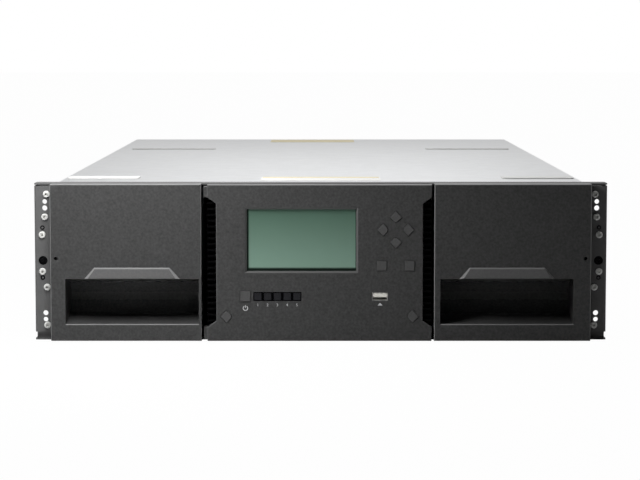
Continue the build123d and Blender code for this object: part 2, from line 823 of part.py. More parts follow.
def grip(side):
    """Raised grip over the pocket: bevelled ends, face leaning back toward the top."""
    inset = (grip_low_width - grip_high_width) / 2
    below = grip_proud      # the ends run on below the grip before it is cut level
    flare = below * inset / (grip_high - pocket_high)
    middle = panel_x + side * pocket_x
    low = middle - grip_low_width / 2
    high = middle + grip_low_width / 2
    with BuildPart() as block:
        with BuildSketch(front(face_y)):
            with BuildLine():
                Polyline((low - flare, pocket_high - below), (high + flare, pocket_high - below),
                         (high - inset, grip_high), (low + inset, grip_high), close=True)
            make_face()
        extrude(amount=grip_proud, taper=grip_taper)
        with BuildSketch(Plane.YZ.offset(middle)):
            with BuildLine():
                Polyline((face_y, pocket_high), (face_y - grip_proud, pocket_high + pocket_lip),
                         (face_y - grip_top_proud, grip_high), (face_y, grip_high), close=True)
            make_face()
        extrude(amount=grip_low_width, both=True, mode=Mode.INTERSECT)
    return block


for side, name, inner_edge in ((-1, "left", left_edge), (1, "right", right_edge)):
    door = magazine_bezel(side, inner_edge)
    raised = grip(side)
    with BuildPart() as whole_door:
        add(door.part)
        add(raised.part)
    save(whole_door, f"{name}_magazine_bezel")
    save(slab(side * (magazine_in + base_inset), side * magazine_out, face_y + bezel_wall, magazine_end,
              magazine_low, magazine_floor), f"{name}_magazine_base")
    save(slab(side * (magazine_out - magazine_wall), side * magazine_out, face_y + bezel_wall, magazine_end,
              magazine_floor, magazine_high), f"{name}_magazine_wall")
    across = (magazine_in + magazine_out - magazine_wall) / 2
    reach = magazine_out - magazine_wall - magazine_in
    with BuildPart() as dividers:
        with BuildSketch(Plane.XY.offset(magazine_floor)):
            for column in range(columns + 1):
                with Locations((side * across, column_y + column * column_spacing + divider / 2)):
                    Rectangle(reach, divider)
        extrude(amount=magazine_high - magazine_floor)
    save(dividers, f"{name}_magazine_dividers")
    with BuildPart() as ledges:
        for row in range(rows):
            with BuildSketch(Plane.XY.offset(first_slot + row * slot_spacing - ledge_thick)):
                for column in range(columns):
                    start = column_y + column * column_spacing + divider
                    with Locations((side * across, start + ledge_width / 2),
                                   (side * across, start + slot_width - ledge_width / 2)):
                        Rectangle(reach - 2 * ledge_end, ledge_width)
            extrude(amount=ledge_thick)
    save(ledges, f"{name}_magazine_ledges")


# Robot
with BuildPart() as robot_carriage:
    with BuildSketch(Plane((0, robot_y, ring_low))):
        Rectangle(2 * ring_half_x, 2 * ring_half_y)
        with Locations((motor_x, motor_y - shoe_width / 2)):
            Rectangle(motor_size, motor_size + shoe_width)
        Rectangle(2 * ring_open_x, 2 * ring_open_y, mode=Mode.SUBTRACT)
    extrude(amount=ring_thick)
    # Shoes at both sides of each rail
    shoe_x = (guide_width + shoe_width) / 2 + slide_gap
    with BuildSketch(Plane((0, robot_y, ring_low))):
        for x in (-post_x - shoe_x, -post_x + shoe_x, post_x - shoe_x, post_x + shoe_x):
            with Locations((x, -post_y), (x, post_y)):
                Rectangle(shoe_width, shoe_length)
    extrude(amount=shoe_clear - guide_height)
save(robot_carriage, "robot_carriage")

with BuildPart() as lift_posts:
    with BuildSketch(Plane((0, robot_y, ring_top))):
        with GridLocations(2 * post_x, 2 * post_y, 2, 2):
            Circle(post_r)
    extrude(amount=post_top - ring_top)
save(lift_posts, "lift_posts")

with BuildPart() as lift_screw:
    with BuildSketch(Plane((screw_x, robot_y + post_y, ring_top))):
        Circle(lift_screw_r)
    extrude(amount=post_top - ring_top)
save(lift_screw, "lift_screw")

with BuildPart() as lift_motor:
    with BuildSketch(Plane((motor_x, robot_y + motor_y, ring_top))):
        RectangleRounded(motor_size, motor_size, motor_round)
    extrude(amount=motor_height)
    with BuildSketch(Plane((motor_x, robot_y + motor_y, ring_top + motor_height))):
        Circle(motor_nose_r)
    extrude(amount=motor_nose)
save(lift_motor, "lift_motor")

platform_half_x = ring_open_x - platform_clear
platform_half_y = ring_open_y - platform_clear
with BuildPart() as lift_platform:
    with BuildSketch(Plane((0, robot_y, platform_low))):
        Rectangle(2 * platform_half_x, 2 * platform_half_y)
        Circle(pivot_r + turn_gap, mode=Mode.SUBTRACT)
    extrude(amount=platform_thick)
    # Corner stalks, arms over the carriage and sleeves on the posts
    with BuildSketch(Plane((0, robot_y, platform_low))):
        with GridLocations(2 * platform_half_x - stalk, 2 * platform_half_y - stalk, 2, 2):
            Rectangle(stalk, stalk)
    extrude(amount=arm_high - platform_low)
    arm = [(platform_half_x - stalk, platform_half_y), (post_x, post_y + arm_half)]
    arm += [(post_x + arm_half, post_y), (platform_half_x, platform_half_y - stalk)]
    for sx in (-1, 1):
        for sy in (-1, 1):
            with BuildSketch(Plane((0, robot_y, arm_low))):
                with BuildLine():
                    Polyline(*[(sx * x, sy * y) for x, y in arm], close=True)
                make_face()
            extrude(amount=arm_height)
    with BuildSketch(Plane((0, robot_y, arm_low))):
        with GridLocations(2 * post_x, 2 * post_y, 2, 2):
            Circle(post_r + sleeve_wall)
        with Locations((screw_x, post_y)):
            Circle(lift_screw_r + sleeve_wall)
        with Locations(((screw_x - post_x) / 2, post_y)):
            Rectangle(post_x + screw_x, 2 * arm_half)
    extrude(amount=sleeve_height)
    with BuildSketch(Plane((0, robot_y, arm_low))):
        with GridLocations(2 * post_x, 2 * post_y, 2, 2):
            Circle(post_r + turn_gap)
        with Locations((screw_x, post_y)):
            Circle(lift_screw_r + turn_gap)
    extrude(amount=sleeve_height, mode=Mode.SUBTRACT)
save(lift_platform, "lift_platform")

with BuildPart() as picker_table:
    with BuildSketch(Plane((0, robot_y, platform_low))):
        Circle(pivot_r)
    extrude(amount=platform_thick + slide_gap)
    with BuildSketch(Plane((0, robot_y, table_low))):
        Circle(table_r)
    extrude(amount=table_thick)
    # Cradle, open at both ends
    with BuildSketch(front(robot_y - cradle_half_y)):
        with Locations((0, (cradle_low + cradle_top) / 2)):
            Rectangle(2 * cradle_half_x, cradle_top - cradle_low)
        with Locations((0, cradle_floor + cradle_depth)):
            Rectangle(2 * (cradle_half_x - cradle_wall), 2 * cradle_depth, mode=Mode.SUBTRACT)
    extrude(amount=-2 * cradle_half_y)
save(picker_table, "picker_table")

# Gripper: block with two hooked fingers toward the cartridge
inside = gripper_half - finger
tip = inside - hook
hand = [(gripper_half, 0), (gripper_half, gripper_length), (tip, gripper_length)]
hand += [(tip, gripper_length - finger), (inside, gripper_length - finger - hook), (inside, gripper_block)]
hand += [(-x, y) for x, y in reversed(hand)]
with BuildPart() as gripper:
    with BuildSketch(Plane((0, robot_y - gripper_back, cradle_floor + slide_gap))):
        with BuildLine():
            Polyline(*hand, close=True)
        make_face()
    extrude(amount=gripper_thick)
save(gripper, "gripper")


# Rear modules
def handle_path(x, base, height):
    """Bow handle in an upright plane behind a face plate."""
    low = base + handle_edge
    high = base + height - handle_edge
    reach = rear_y + handle_proud - handle_r
    with BuildLine(Plane.YZ.offset(x)) as path:
        FilletPolyline((rear_y, low), (reach, low), (reach, high), (rear_y, high), radius=handle_bend)
    return path.line


def module_plate(x, base, width, height, top_rim):
    """Face plate outside the rear frame, as low as its module."""
    with BuildSketch(front(rear_y + face_plate)) as plate:
        with Locations((x, base + (height + top_rim) / 2)):
            Rectangle(width + 2 * module_rim, height + top_rim)
    return plate.sketch


def power_supply(base):
    """Supply module: steel case, face plate with inlet and fan openings, bow handle."""
    level = base + supply_height / 2
    path = handle_path(supply_x + handle_x, base, supply_height)
    plate = module_plate(supply_x, base, supply_width, supply_height, supply_rim)
    with BuildPart() as supply:
        with BuildSketch(front(rear_y)):
            with Locations((supply_x, level)):
                Rectangle(supply_width, supply_height)
                Rectangle(supply_width - 2 * sheet, supply_height - 2 * sheet, mode=Mode.SUBTRACT)
        extrude(amount=supply_length)
        extrude(plate, amount=face_plate)
        with BuildSketch(front(rear_y + face_plate)):
            with Locations((supply_x + inlet_x, level)):
                Rectangle(inlet_width, inlet_height)
            with Locations((supply_x + fan_x, level)):
                Circle(fan_r)
        extrude(amount=face_plate, mode=Mode.SUBTRACT)
        # Bracket across the case with the fan's shaft
        with BuildSketch(front(rear_y - fan_back - fan_depth - slide_gap)):
            with Locations((supply_x + fan_x, level)):
                Rectangle(bracket_width, supply_height - 2 * sheet)
        extrude(amount=bracket_thick)
        with BuildSketch(front(rear_y - fan_back)):
            with Locations((supply_x + fan_x, level)):
                Circle(shaft_r)
        extrude(amount=fan_depth + slide_gap)
        with BuildSketch(Plane(path @ 0, z_dir=path % 0)):
            Circle(handle_r)
        sweep(path=path)
    return supply


def fan(base):
    """Rotor on the supply's shaft: hub and blades, each lofted with a twist from root to tip."""
    axle = (supply_x + fan_x, rear_y - fan_back - fan_depth / 2, base + supply_height / 2)
    radial = Plane(axle, x_dir=(0, 1, 0), z_dir=(1, 0, 0))
    with BuildPart() as blade:
        with BuildSketch(radial.offset(hub_r - vane_sink)):
            Rectangle(vane_width, vane_thick, rotation=vane_root)
        with BuildSketch(radial.offset(fan_r - fan_gap)):
            Rectangle(vane_width, vane_thick, rotation=vane_tip)
        loft(ruled=True)
    with BuildPart() as rotor:
        with BuildSketch(Plane(axle, x_dir=(1, 0, 0), z_dir=(0, -1, 0))):
            Circle(hub_r)
            Circle(shaft_r + turn_gap, mode=Mode.SUBTRACT)
        extrude(amount=fan_depth / 2, both=True)
        for number in range(fan_blades):
            add(blade.part.rotate(Axis(axle, (0, 1, 0)), number * full_turn / fan_blades))
    return rotor


def power_inlet(base):
    """Appliance inlet: flange on the plate, recess with two cut corners, three blades."""
    x = supply_x + inlet_x
    level = base + supply_height / 2
    outside = rear_y + face_plate
    width = inlet_width - 2 * inlet_fit
    height = inlet_height - 2 * inlet_fit
    with BuildPart() as inlet:
        with BuildSketch(front(outside)):
            with Locations((x, level)):
                Rectangle(width, height)
        extrude(amount=inlet_deep)
        with BuildSketch(front(outside)):
            with Locations((x, level)):
                RectangleRounded(inlet_width + 2 * inlet_rim, inlet_height + 2 * inlet_rim, inlet_rim)
        extrude(amount=-inlet_flange)
        with BuildSketch(front(outside + inlet_flange)) as recess:
            with Locations((x, level)):
                Rectangle(width - 2 * inlet_wall, height - 2 * inlet_wall)
            chamfer(recess.vertices().group_by(Axis.Z)[-1], inlet_cut)
        extrude(amount=inlet_deep + inlet_flange - inlet_wall, mode=Mode.SUBTRACT)
        with BuildSketch(front(outside - inlet_deep + inlet_wall)):
            for dx, dz in ((-blade_x, -blade_z), (blade_x, -blade_z), (0, blade_z)):
                with Locations((x + dx, level + dz)):
                    Rectangle(blade_width, blade_height)
        extrude(amount=-blade_length)
    return inlet


for name, base in (("lower", supply_low), ("upper", supply_high)):
    save(power_supply(base), f"{name}_power_supply")
    save(power_inlet(base), f"{name}_power_inlet")
    save(fan(base), f"{name}_fan")

controller_plate = module_plate(controller_x, supply_low, supply_width, controller_height, supply_rim)
with BuildPart() as controller:
    with BuildSketch(front(rear_y)):
        with Locations((controller_x, supply_low + controller_height / 2)):
            Rectangle(supply_width, controller_height)
            Rectangle(supply_width - 2 * sheet, controller_height - 2 * sheet, mode=Mode.SUBTRACT)
    extrude(amount=supply_length)
    extrude(controller_plate, amount=face_plate)
    # Jack block inside the plate with its sockets
    with BuildSketch(front(rear_y)):
        with Locations((controller_x, jack_z)):
            Rectangle(jack_block_width, jack_block_height)
    extrude(amount=jack_block_depth)
    with BuildSketch(front(rear_y + face_plate)):
        for x in jacks_x:
            with Locations((controller_x + x, jack_z)):
                Rectangle(jack_width, jack_height)
        with Locations((controller_x + socket_x, jack_z)):
            Rectangle(socket_width, socket_height)
    extrude(amount=jack_depth, mode=Mode.SUBTRACT)
save(controller, "controller")

# Tape drive: hollow case with the cartridge mouth toward the aisle
with BuildPart() as tape_drive:
    with BuildSketch(front(drive_y)):
        with Locations((0, drive_low + drive_height / 2)):
            Rectangle(drive_width, drive_height)
    extrude(amount=-drive_length)
    with BuildSketch(front(drive_y + drive_wall)):
        with Locations((0, drive_low + drive_height / 2)):
            Rectangle(drive_width - 2 * drive_wall, drive_height - 2 * drive_wall)
    extrude(amount=drive_wall - drive_length, mode=Mode.SUBTRACT)
    with BuildSketch(front(drive_y)):
        with Locations((0, cradle_floor - mouth_drop + mouth_height / 2)):
            Rectangle(mouth_width, mouth_height)
    extrude(amount=-drive_wall, mode=Mode.SUBTRACT)
save(tape_drive, "tape_drive")

sled_path = handle_path(0, drive_low, drive_height)
sled_plate = module_plate(0, drive_low, drive_width, drive_height, drive_rim)
with BuildPart() as drive_sled:
    with BuildSketch(front(rear_y)):
        with Locations((0, drive_low + drive_height / 2)):
            Rectangle(drive_width, drive_height)
    extrude(amount=drive_back + frame_sheet)
    extrude(sled_plate, amount=face_plate)
    with BuildSketch(front(rear_y + face_plate)):
        with Locations((0, drive_low + drive_height / 2)):
            with GridLocations(2 * data_port_x, 1, 2, 1):
                Rectangle(data_port_width, data_port_height)
    extrude(amount=data_port_depth, mode=Mode.SUBTRACT)
    with BuildSketch(Plane(sled_path @ 0, z_dir=sled_path % 0)):
        Circle(handle_r)
    sweep(path=sled_path)
save(drive_sled, "drive_sled")

with BuildPart() as bay_covers:
    for bay in range(1, bays):
        with BuildSketch(front(rear_y + face_plate)):
            with Locations((0, drive_low + bay * bay_spacing + drive_height / 2)):
                Rectangle(drive_width + 2 * module_rim, drive_height + 2 * drive_rim)
                with GridLocations(cover_slot_spacing, 1, cover_slot_count, 1):
                    SlotOverall(cover_slot, cover_slot_width, rotation=90, mode=Mode.SUBTRACT)
        extrude(amount=face_plate)
save(bay_covers, "bay_covers")
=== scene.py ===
import json
from math import pi, radians, tau

import bmesh
import bpy
import numpy as np
from bpy.props import FloatProperty, FloatVectorProperty, IntProperty, PointerProperty
from mathutils import Matrix, Vector


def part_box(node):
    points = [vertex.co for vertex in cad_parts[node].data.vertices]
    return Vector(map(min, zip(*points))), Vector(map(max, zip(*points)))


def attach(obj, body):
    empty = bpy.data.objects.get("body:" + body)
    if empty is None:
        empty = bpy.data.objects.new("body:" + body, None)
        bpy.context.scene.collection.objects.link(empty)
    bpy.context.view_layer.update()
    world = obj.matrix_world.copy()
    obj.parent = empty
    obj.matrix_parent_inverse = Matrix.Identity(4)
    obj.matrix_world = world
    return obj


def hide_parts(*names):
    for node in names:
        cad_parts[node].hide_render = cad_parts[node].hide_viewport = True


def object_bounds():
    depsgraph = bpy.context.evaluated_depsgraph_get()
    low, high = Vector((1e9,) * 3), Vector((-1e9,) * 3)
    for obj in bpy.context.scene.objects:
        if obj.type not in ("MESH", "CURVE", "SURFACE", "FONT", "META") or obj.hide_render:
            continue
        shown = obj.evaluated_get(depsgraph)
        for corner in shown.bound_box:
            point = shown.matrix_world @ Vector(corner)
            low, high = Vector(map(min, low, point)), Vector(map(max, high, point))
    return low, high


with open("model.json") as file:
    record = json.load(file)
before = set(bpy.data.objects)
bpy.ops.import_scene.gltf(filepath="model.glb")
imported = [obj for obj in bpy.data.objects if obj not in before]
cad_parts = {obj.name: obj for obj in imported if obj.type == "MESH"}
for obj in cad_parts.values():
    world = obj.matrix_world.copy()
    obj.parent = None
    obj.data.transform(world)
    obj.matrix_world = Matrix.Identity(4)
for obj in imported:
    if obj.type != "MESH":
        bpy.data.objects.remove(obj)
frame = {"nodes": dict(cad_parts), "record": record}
cad_low, cad_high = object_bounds()

bl_info = {
    "name": "Data tape library",
    "version": (1, 0, 0),
    "blender": (4, 5, 0),
    "location": "View3D > Sidebar > Tape library",
    "description": "Finishes, fasteners, labels, marks and stage of a rack-mounted data tape library",
    "category": "Object",
}

MM = 0.001
SIDES = ((-1, "left"), (1, "right"))

# Planes and places of the solids, in metres
ear_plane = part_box("left_rack_ear")[0].y
face_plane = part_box("panel_bezel")[0].y
cover_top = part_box("top_cover")[1].z
plate_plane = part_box("bay_covers")[1].y
half_rack = cad_high.x
half_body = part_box("right_side_wall")[1].x
rack_unit = 44.45 * MM
rack_centre = (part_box("rack_screws")[0].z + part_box("rack_screws")[1].z) / 2

# Fasteners of an ear: inset from its outer edge and rise above the rack centre. The screws follow the
# rack, so their rises are in rack units.
ear_screw_places = np.array([(10.3, 1.262), (8.8, 0.832), (6.5, 0.493), (6.5, -0.207), (10.3, -0.508),
                             (10.3, -1.231)]) * (MM, rack_unit)
eyelet_places = np.array([(6.7, 27.9), (6.7, -14.5)]) * MM

# Softboxes, in metres: place and target from the middle of the front, back from the bezels and up from
# the floor, then the size. The key is small and bright, so glossy sheet doesn't mirror it.
KEY_BOX = {"place": (-0.2, -0.16, 0.36), "target": (-0.18, -0.02, 0.03), "size": (0.16, 0.16),
           "mirrored": False}
TOP_BOX = {"place": (0.0, 0.05, 0.55), "target": (0.0, 0.05, 0.0), "size": (1.0, 0.16)}
COVER_BOX = {"place": (0.0, 0.62, 0.55), "target": (0.0, 0.62, 0.0), "size": (0.45, 0.7)}


def linear(colour):
    """sRGB hex to linear light: v / 12.92 in the darks, ((v + 0.055) / 1.055) to the power 2.4 above."""
    srgb = np.array([int(colour[i:i + 2], 16) for i in (1, 3, 5)]) / 255
    return tuple(np.where(srgb <= 0.04045, srgb / 12.92, ((srgb + 0.055) / 1.055) ** 2.4).tolist())


def shade(colour, factor=1.0):
    """Linear colour with alpha, made lighter or darker by a factor."""
    return (*[min(1.0, channel * factor) for channel in colour], 1.0)


def per_metre(millimetres):
    """Scale of a pattern on Object coordinates whose features are that many millimetres wide."""
    return 1 / (millimetres * MM)


def colour_property(name, description, colour):
    """Colour that a user would change, given as sRGB hex."""
    return FloatVectorProperty(name=name, description=description, subtype="COLOR", size=3, min=0, max=1,
                               default=linear(colour))


def length_property(name, description, millimetres):
    """Length that a user would change, given in millimetres."""
    return FloatProperty(name=name, description=description, unit="LENGTH", subtype="DISTANCE", min=0,
                         precision=5, default=millimetres * MM)


class TAPELIB_PG_colours(bpy.types.PropertyGroup):
    """Colours of the finishes."""
    bezel: colour_property("Bezels", "Grained moulding of the panel and magazine fronts", "#4C4C4C")
    keys: colour_property("Keys", "Key caps of the operator panel", "#5A5A5A")
    coat: colour_property("Powder coat", "Rack ears and front rails", "#6B6B6B")
    zinc: colour_property("Zinc plate", "Sheet of the body, the cover and the rear modules", "#ECEDEE")
    nickel: colour_property("Nickel", "Rear screws, socket shell and lift posts", "#F0EFEC")
    screws: colour_property("Ear screws", "Passivated zinc of the small screws in the ears", "#F4F4F1")
    # The two screen colours paint shade: the crystal is darker at the top, where the window's upper wall
    # shades it
    lcd_high: colour_property("Screen, top", "Unlit liquid crystal at the top of the screen", "#4E6A5B")
    lcd_low: colour_property("Screen, foot", "Unlit liquid crystal at the foot of the screen", "#88A797")
    tray: colour_property("Magazine trays", "Moulded trays of the tape magazines", "#55565A")
    robot: colour_property("Picker", "Moulded cradle of the robot", "#8A8B8F")
    label: colour_property("Label", "Paper of the blank labels", "#F6F5F1")
    amber: colour_property("Label band", "Tinted band of the blank labels", "#F4E7BF")
    ink: colour_property("Ink", "Printed marks on the panel", "#D8D9DA")


class TAPELIB_PG_sizes(bpy.types.PropertyGroup):
    """Sizes of the small pieces."""
    screw_head: length_property("Screw head radius", "Pan head of the small screws", 2.9)
    screw_rise: length_property("Screw head height", "Pan head of the small screws", 1.7)
    star: length_property("Recess radius", "Six-lobed recess of the small screws", 1.3)
    captive_head: length_property("Captive crown radius", "Crown of the captive rack screws", 2.3)
    captive_rise: length_property("Captive crown height", "Crown of the captive rack screws", 0.7)
    captive_cross: length_property("Captive recess radius", "Cross recess of the captive rack screws", 1.2)
    eyelet: length_property("Eyelet radius", "Ring eyelets in the ears", 1.9)
    label_thick: length_property("Label thickness", "Labels on the cover", 0.15)
    label_corner: length_property("Label corner radius", "Labels on the cover", 2.0)
    ink: length_property("Ink thickness", "Printed marks on the panel", 0.06)
    sign: length_property("Standby sign radius", "Ring of the sign under the power key", 1.9)
    stroke: length_property("Standby sign stroke", "Width of the sign's lines", 0.6)
    numeral: length_property("Numeral height", "Numbers under the status lights", 2.3)
    insulator: length_property("Insulator height", "White block in the upper half of the socket", 3.4)
    thread: length_property("Thread depth", "Lift screw, crest to root", 0.8)
    lead: length_property("Lift screw lead", "Rise of the lift in one turn of its screw", 20.0)
    starts: IntProperty(name="Thread starts", description="Threads side by side on the lift screw",
                        default=4, min=1)
    guard: length_property("Guard radius", "Outer ring of the fan guards", 25.5)
    wire: length_property("Guard wire radius", "Wire of the fan guards", 0.7)
    thumb: length_property("Thumb screw radius", "Knurled screws of the rear modules", 3.8)
    thumb_rise: length_property("Thumb screw height", "Knurled screws of the rear modules", 7.0)


class TAPELIB_PG_stage(bpy.types.PropertyGroup):
    """Light and camera."""
    key: FloatProperty(name="Key light", description="Softbox at the left in front", unit="POWER",
                       default=1.52)
    top: FloatProperty(name="Top light", description="Strip softbox over the front", unit="POWER",
                       default=0.7)
    cover: FloatProperty(name="Cover light", description="Softbox over the cover", unit="POWER",
                         default=1.12)
    ambient: FloatProperty(name="Ambient", subtype="FACTOR", default=0.8, min=0,
                           description="Soft light of the backdrop, as a share of its white")
    room: FloatProperty(name="Dark room", subtype="FACTOR", default=0.02, min=0, max=1,
                        description="Light from the room in front, as a share of that behind")
    floor: FloatProperty(name="Floor glow", subtype="FACTOR", default=0.985, min=0, max=1,
                         description="Share of the floor's white that takes no shadow")
    lens: FloatProperty(name="Focal length", description="Camera lens on a 36 mm sensor", unit="CAMERA",
                        default=124.2)
    distance: length_property("Camera distance", "Camera to the front of the ears", 1854.5)
    height: length_property("Camera height", "Camera above the floor", 252.7)
    across: FloatProperty(name="Camera across", description="Camera beside the middle", unit="LENGTH",
                          default=-0.6 * MM)
    pitch: FloatProperty(name="Camera pitch", description="Downward tilt of the camera", subtype="ANGLE",
                         default=radians(5.18))


# Materials

def add_node(tree, kind, inputs=None, **settings):
    """Add a node: settings are its properties, inputs its sockets, each a value or a node's output."""
    made = tree.nodes.new(kind)
    for key, value in settings.items():
        setattr(made, key, value)
    for socket, value in (inputs or {}).items():
        if isinstance(value, bpy.types.NodeSocket):
            tree.links.new(value, made.inputs[socket])
        else:
            made.inputs[socket].default_value = value
    return made


def start_material(name):
    """Material with an empty tree and Object coordinates, ready for its surface."""
    material = bpy.data.materials.new(name)
    material.use_nodes = True
    tree = material.node_tree
    tree.nodes.clear()
    place = add_node(tree, "ShaderNodeTexCoord").outputs["Object"]
    return material, tree, place


def finish_material(material, tree, surface):
    """Join the surface shader to the output."""
    add_node(tree, "ShaderNodeOutputMaterial", {"Surface": surface.outputs[0]})
    return material


def moulded_plastic(name, colour, grain, fleck, relief, roughness, specular=0.5, smooth=0.45, edge=1.0):
    """Injection-moulded plastic. Spark-eroded tools leave a fine grain: flecks of lighter and darker
    tone, a slight relief and patches that are a little glossier where the part cooled first. Bevels,
    whose normals lie along no axis, come from ground parts of the tool and are smooth. In front, the
    more a face leans, the paler its base colour, as a painted highlight: at 45 degrees it is paler by
    the edge factor. The real grain is some tenths of a millimetre wide, and is drawn 1 to 4 mm wide so
    that it shows."""
    cooling_patch = 45                          # millimetres
    glossier, duller = 0.05, 0.07               # change of roughness across the patches
    dark_fleck, pale_fleck = 0.3, 0.7           # values of the noise between which the tone changes
    square_face, bevelled = 0.85, 0.7           # values of along between which a face becomes a bevel
    grain_height = 0.1 * MM
    # Planes behind the face: the painted highlight is full in front of the first and gone behind the second
    full_highlight_plane, no_highlight_plane = face_plane + 3 * MM, face_plane + 5 * MM
    material, tree, place = start_material(name)
    # The fourth powers of the normal's parts add up to 1 on a square face and to 0.5 at 45 degrees
    facing = add_node(tree, "ShaderNodeNewGeometry").outputs["True Normal"]
    square = add_node(tree, "ShaderNodeVectorMath", {0: facing, 1: facing}, operation="MULTIPLY")
    along = add_node(tree, "ShaderNodeVectorMath", {0: square.outputs["Vector"],
                                                    1: square.outputs["Vector"]}, operation="DOT_PRODUCT")
    bevel = add_node(tree, "ShaderNodeMapRange", {"Value": along.outputs["Value"],
                                                  "From Min": square_face, "From Max": bevelled})
    fine = add_node(tree, "ShaderNodeTexNoise", {"Vector": place, "Scale": per_metre(grain), "Detail": 3.0,
                                                 "Roughness": 0.6})
    patch = add_node(tree, "ShaderNodeTexNoise", {"Vector": place, "Scale": per_metre(cooling_patch),
                                                  "Detail": 2.0})
    tone = add_node(tree, "ShaderNodeMapRange", {"Value": fine.outputs["Fac"], "From Min": dark_fleck,
                                                 "From Max": pale_fleck})
    mix = add_node(tree, "ShaderNodeMix", {"Factor": tone.outputs["Result"], "A": shade(colour, 1 - fleck),
                                           "B": shade(colour, 1 + fleck)}, data_type="RGBA")
    # Painted highlight: faces near the front that lean off the axes get a paler base colour, standing in
    # for the light their bevels catch
    part = add_node(tree, "ShaderNodeSeparateXYZ", {"Vector": place})
    near = add_node(tree, "ShaderNodeMapRange", {"Value": part.outputs["Y"], "From Min": no_highlight_plane,
                                                 "From Max": full_highlight_plane})
    lean = add_node(tree, "ShaderNodeMapRange", {"Value": along.outputs["Value"], "From Min": 1.0,
                                                 "From Max": 0.5})
    painted_highlight_lean = add_node(tree, "ShaderNodeMath", {0: lean.outputs["Result"]}, operation="SQRT")
    painted_highlight = add_node(tree, "ShaderNodeMath", {0: painted_highlight_lean.outputs["Value"], 1: near.outputs["Result"]},
                       operation="MULTIPLY")
    painted_highlight_tone = add_node(tree, "ShaderNodeMix", {"Factor": painted_highlight.outputs["Value"], "A": mix.outputs["Result"],
                                            "B": shade(colour, edge)}, data_type="RGBA")
    gloss = add_node(tree, "ShaderNodeMapRange", {"Value": patch.outputs["Fac"],
                                                  "To Min": roughness - glossier,
                                                  "To Max": roughness + duller})
    finish = add_node(tree, "ShaderNodeMix", {"Factor": bevel.outputs["Result"], "B": smooth,
                                              "A": gloss.outputs["Result"]})
    rough = add_node(tree, "ShaderNodeMapRange", {"Value": bevel.outputs["Result"], "To Min": relief,
                                                  "To Max": 0.0})
    bump = add_node(tree, "ShaderNodeBump", {"Height": fine.outputs["Fac"], "Distance": grain_height,
                                             "Strength": rough.outputs["Result"]})
    surface = add_node(tree, "ShaderNodeBsdfPrincipled", {
        "Base Color": painted_highlight_tone.outputs["Result"], "Roughness": finish.outputs["Result"],
        "Specular IOR Level": specular, "Normal": bump.outputs["Normal"]})
    return finish_material(material, tree, surface)


def zinc_plated_sheet(name, colour):
    """Cold-rolled steel with a bright zinc plate: a soft metallic sheen that is duller at a low angle,
    faint rolling lines front to back and cloudy crystal patches. The lines are drawn 1.5 mm wide,
    coarser than they are, so that they show."""
    line, crystal = 1.5, 12                     # millimetres
    along_sheet = (1.0, 0.02, 1.0)              # stretches the lines front to back
    darker, paler = 0.94, 1.04
    glossiest, dullest = 0.36, 0.48
    line_height = 0.05 * MM
    grazing = shade(linear("#DADADA"))
    material, tree, place = start_material(name)
    stretch = add_node(tree, "ShaderNodeMapping", {"Vector": place, "Scale": along_sheet})
    rolling = add_node(tree, "ShaderNodeTexNoise", {"Vector": stretch.outputs["Vector"],
                                                    "Scale": per_metre(line), "Detail": 2.0})
    spangle = add_node(tree, "ShaderNodeTexVoronoi", {"Vector": place, "Scale": per_metre(crystal)})
    flake = add_node(tree, "ShaderNodeSeparateColor", {"Color": spangle.outputs["Color"]})
    cloud = add_node(tree, "ShaderNodeMix", {"Factor": 0.5, "A": rolling.outputs["Fac"],
                                             "B": flake.outputs["Red"]})
    mix = add_node(tree, "ShaderNodeMix", {"Factor": cloud.outputs["Result"], "A": shade(colour, darker),
                                           "B": shade(colour, paler)}, data_type="RGBA")
    gloss = add_node(tree, "ShaderNodeMapRange", {"Value": cloud.outputs["Result"], "To Min": glossiest,
                                                  "To Max": dullest})
    bump = add_node(tree, "ShaderNodeBump", {"Height": rolling.outputs["Fac"], "Strength": 0.08,
                                             "Distance": line_height})
    surface = add_node(tree, "ShaderNodeBsdfPrincipled", {
        "Base Color": mix.outputs["Result"], "Metallic": 1.0, "Roughness": gloss.outputs["Result"],
        "Specular Tint": grazing, "Normal": bump.outputs["Normal"]})
    return finish_material(material, tree, surface)


def coated_steel(name, colour):
    """Steel under a dull dark coat, baked polyester powder or black oxide: satin, with a swell like
    orange peel and a grit. The grit is drawn 0.6 mm wide, coarser than it is, so that it shows."""
    swell, grit = 2, 0.6                        # millimetres
    darker, paler = 0.85, 1.15
    swell_height = 0.1 * MM
    material, tree, place = start_material(name)
    peel = add_node(tree, "ShaderNodeTexNoise", {"Vector": place, "Scale": per_metre(swell), "Detail": 1.0})
    speck = add_node(tree, "ShaderNodeTexNoise", {"Vector": place, "Scale": per_metre(grit), "Detail": 2.0})
    mix = add_node(tree, "ShaderNodeMix", {"Factor": speck.outputs["Fac"], "A": shade(colour, darker),
                                           "B": shade(colour, paler)}, data_type="RGBA")
    bump = add_node(tree, "ShaderNodeBump", {"Height": peel.outputs["Fac"], "Strength": 0.25,
                                             "Distance": swell_height})
    surface = add_node(tree, "ShaderNodeBsdfPrincipled", {
        "Base Color": mix.outputs["Result"], "Roughness": 0.6, "Specular IOR Level": 0.15,
        "Normal": bump.outputs["Normal"]})
    return finish_material(material, tree, surface)


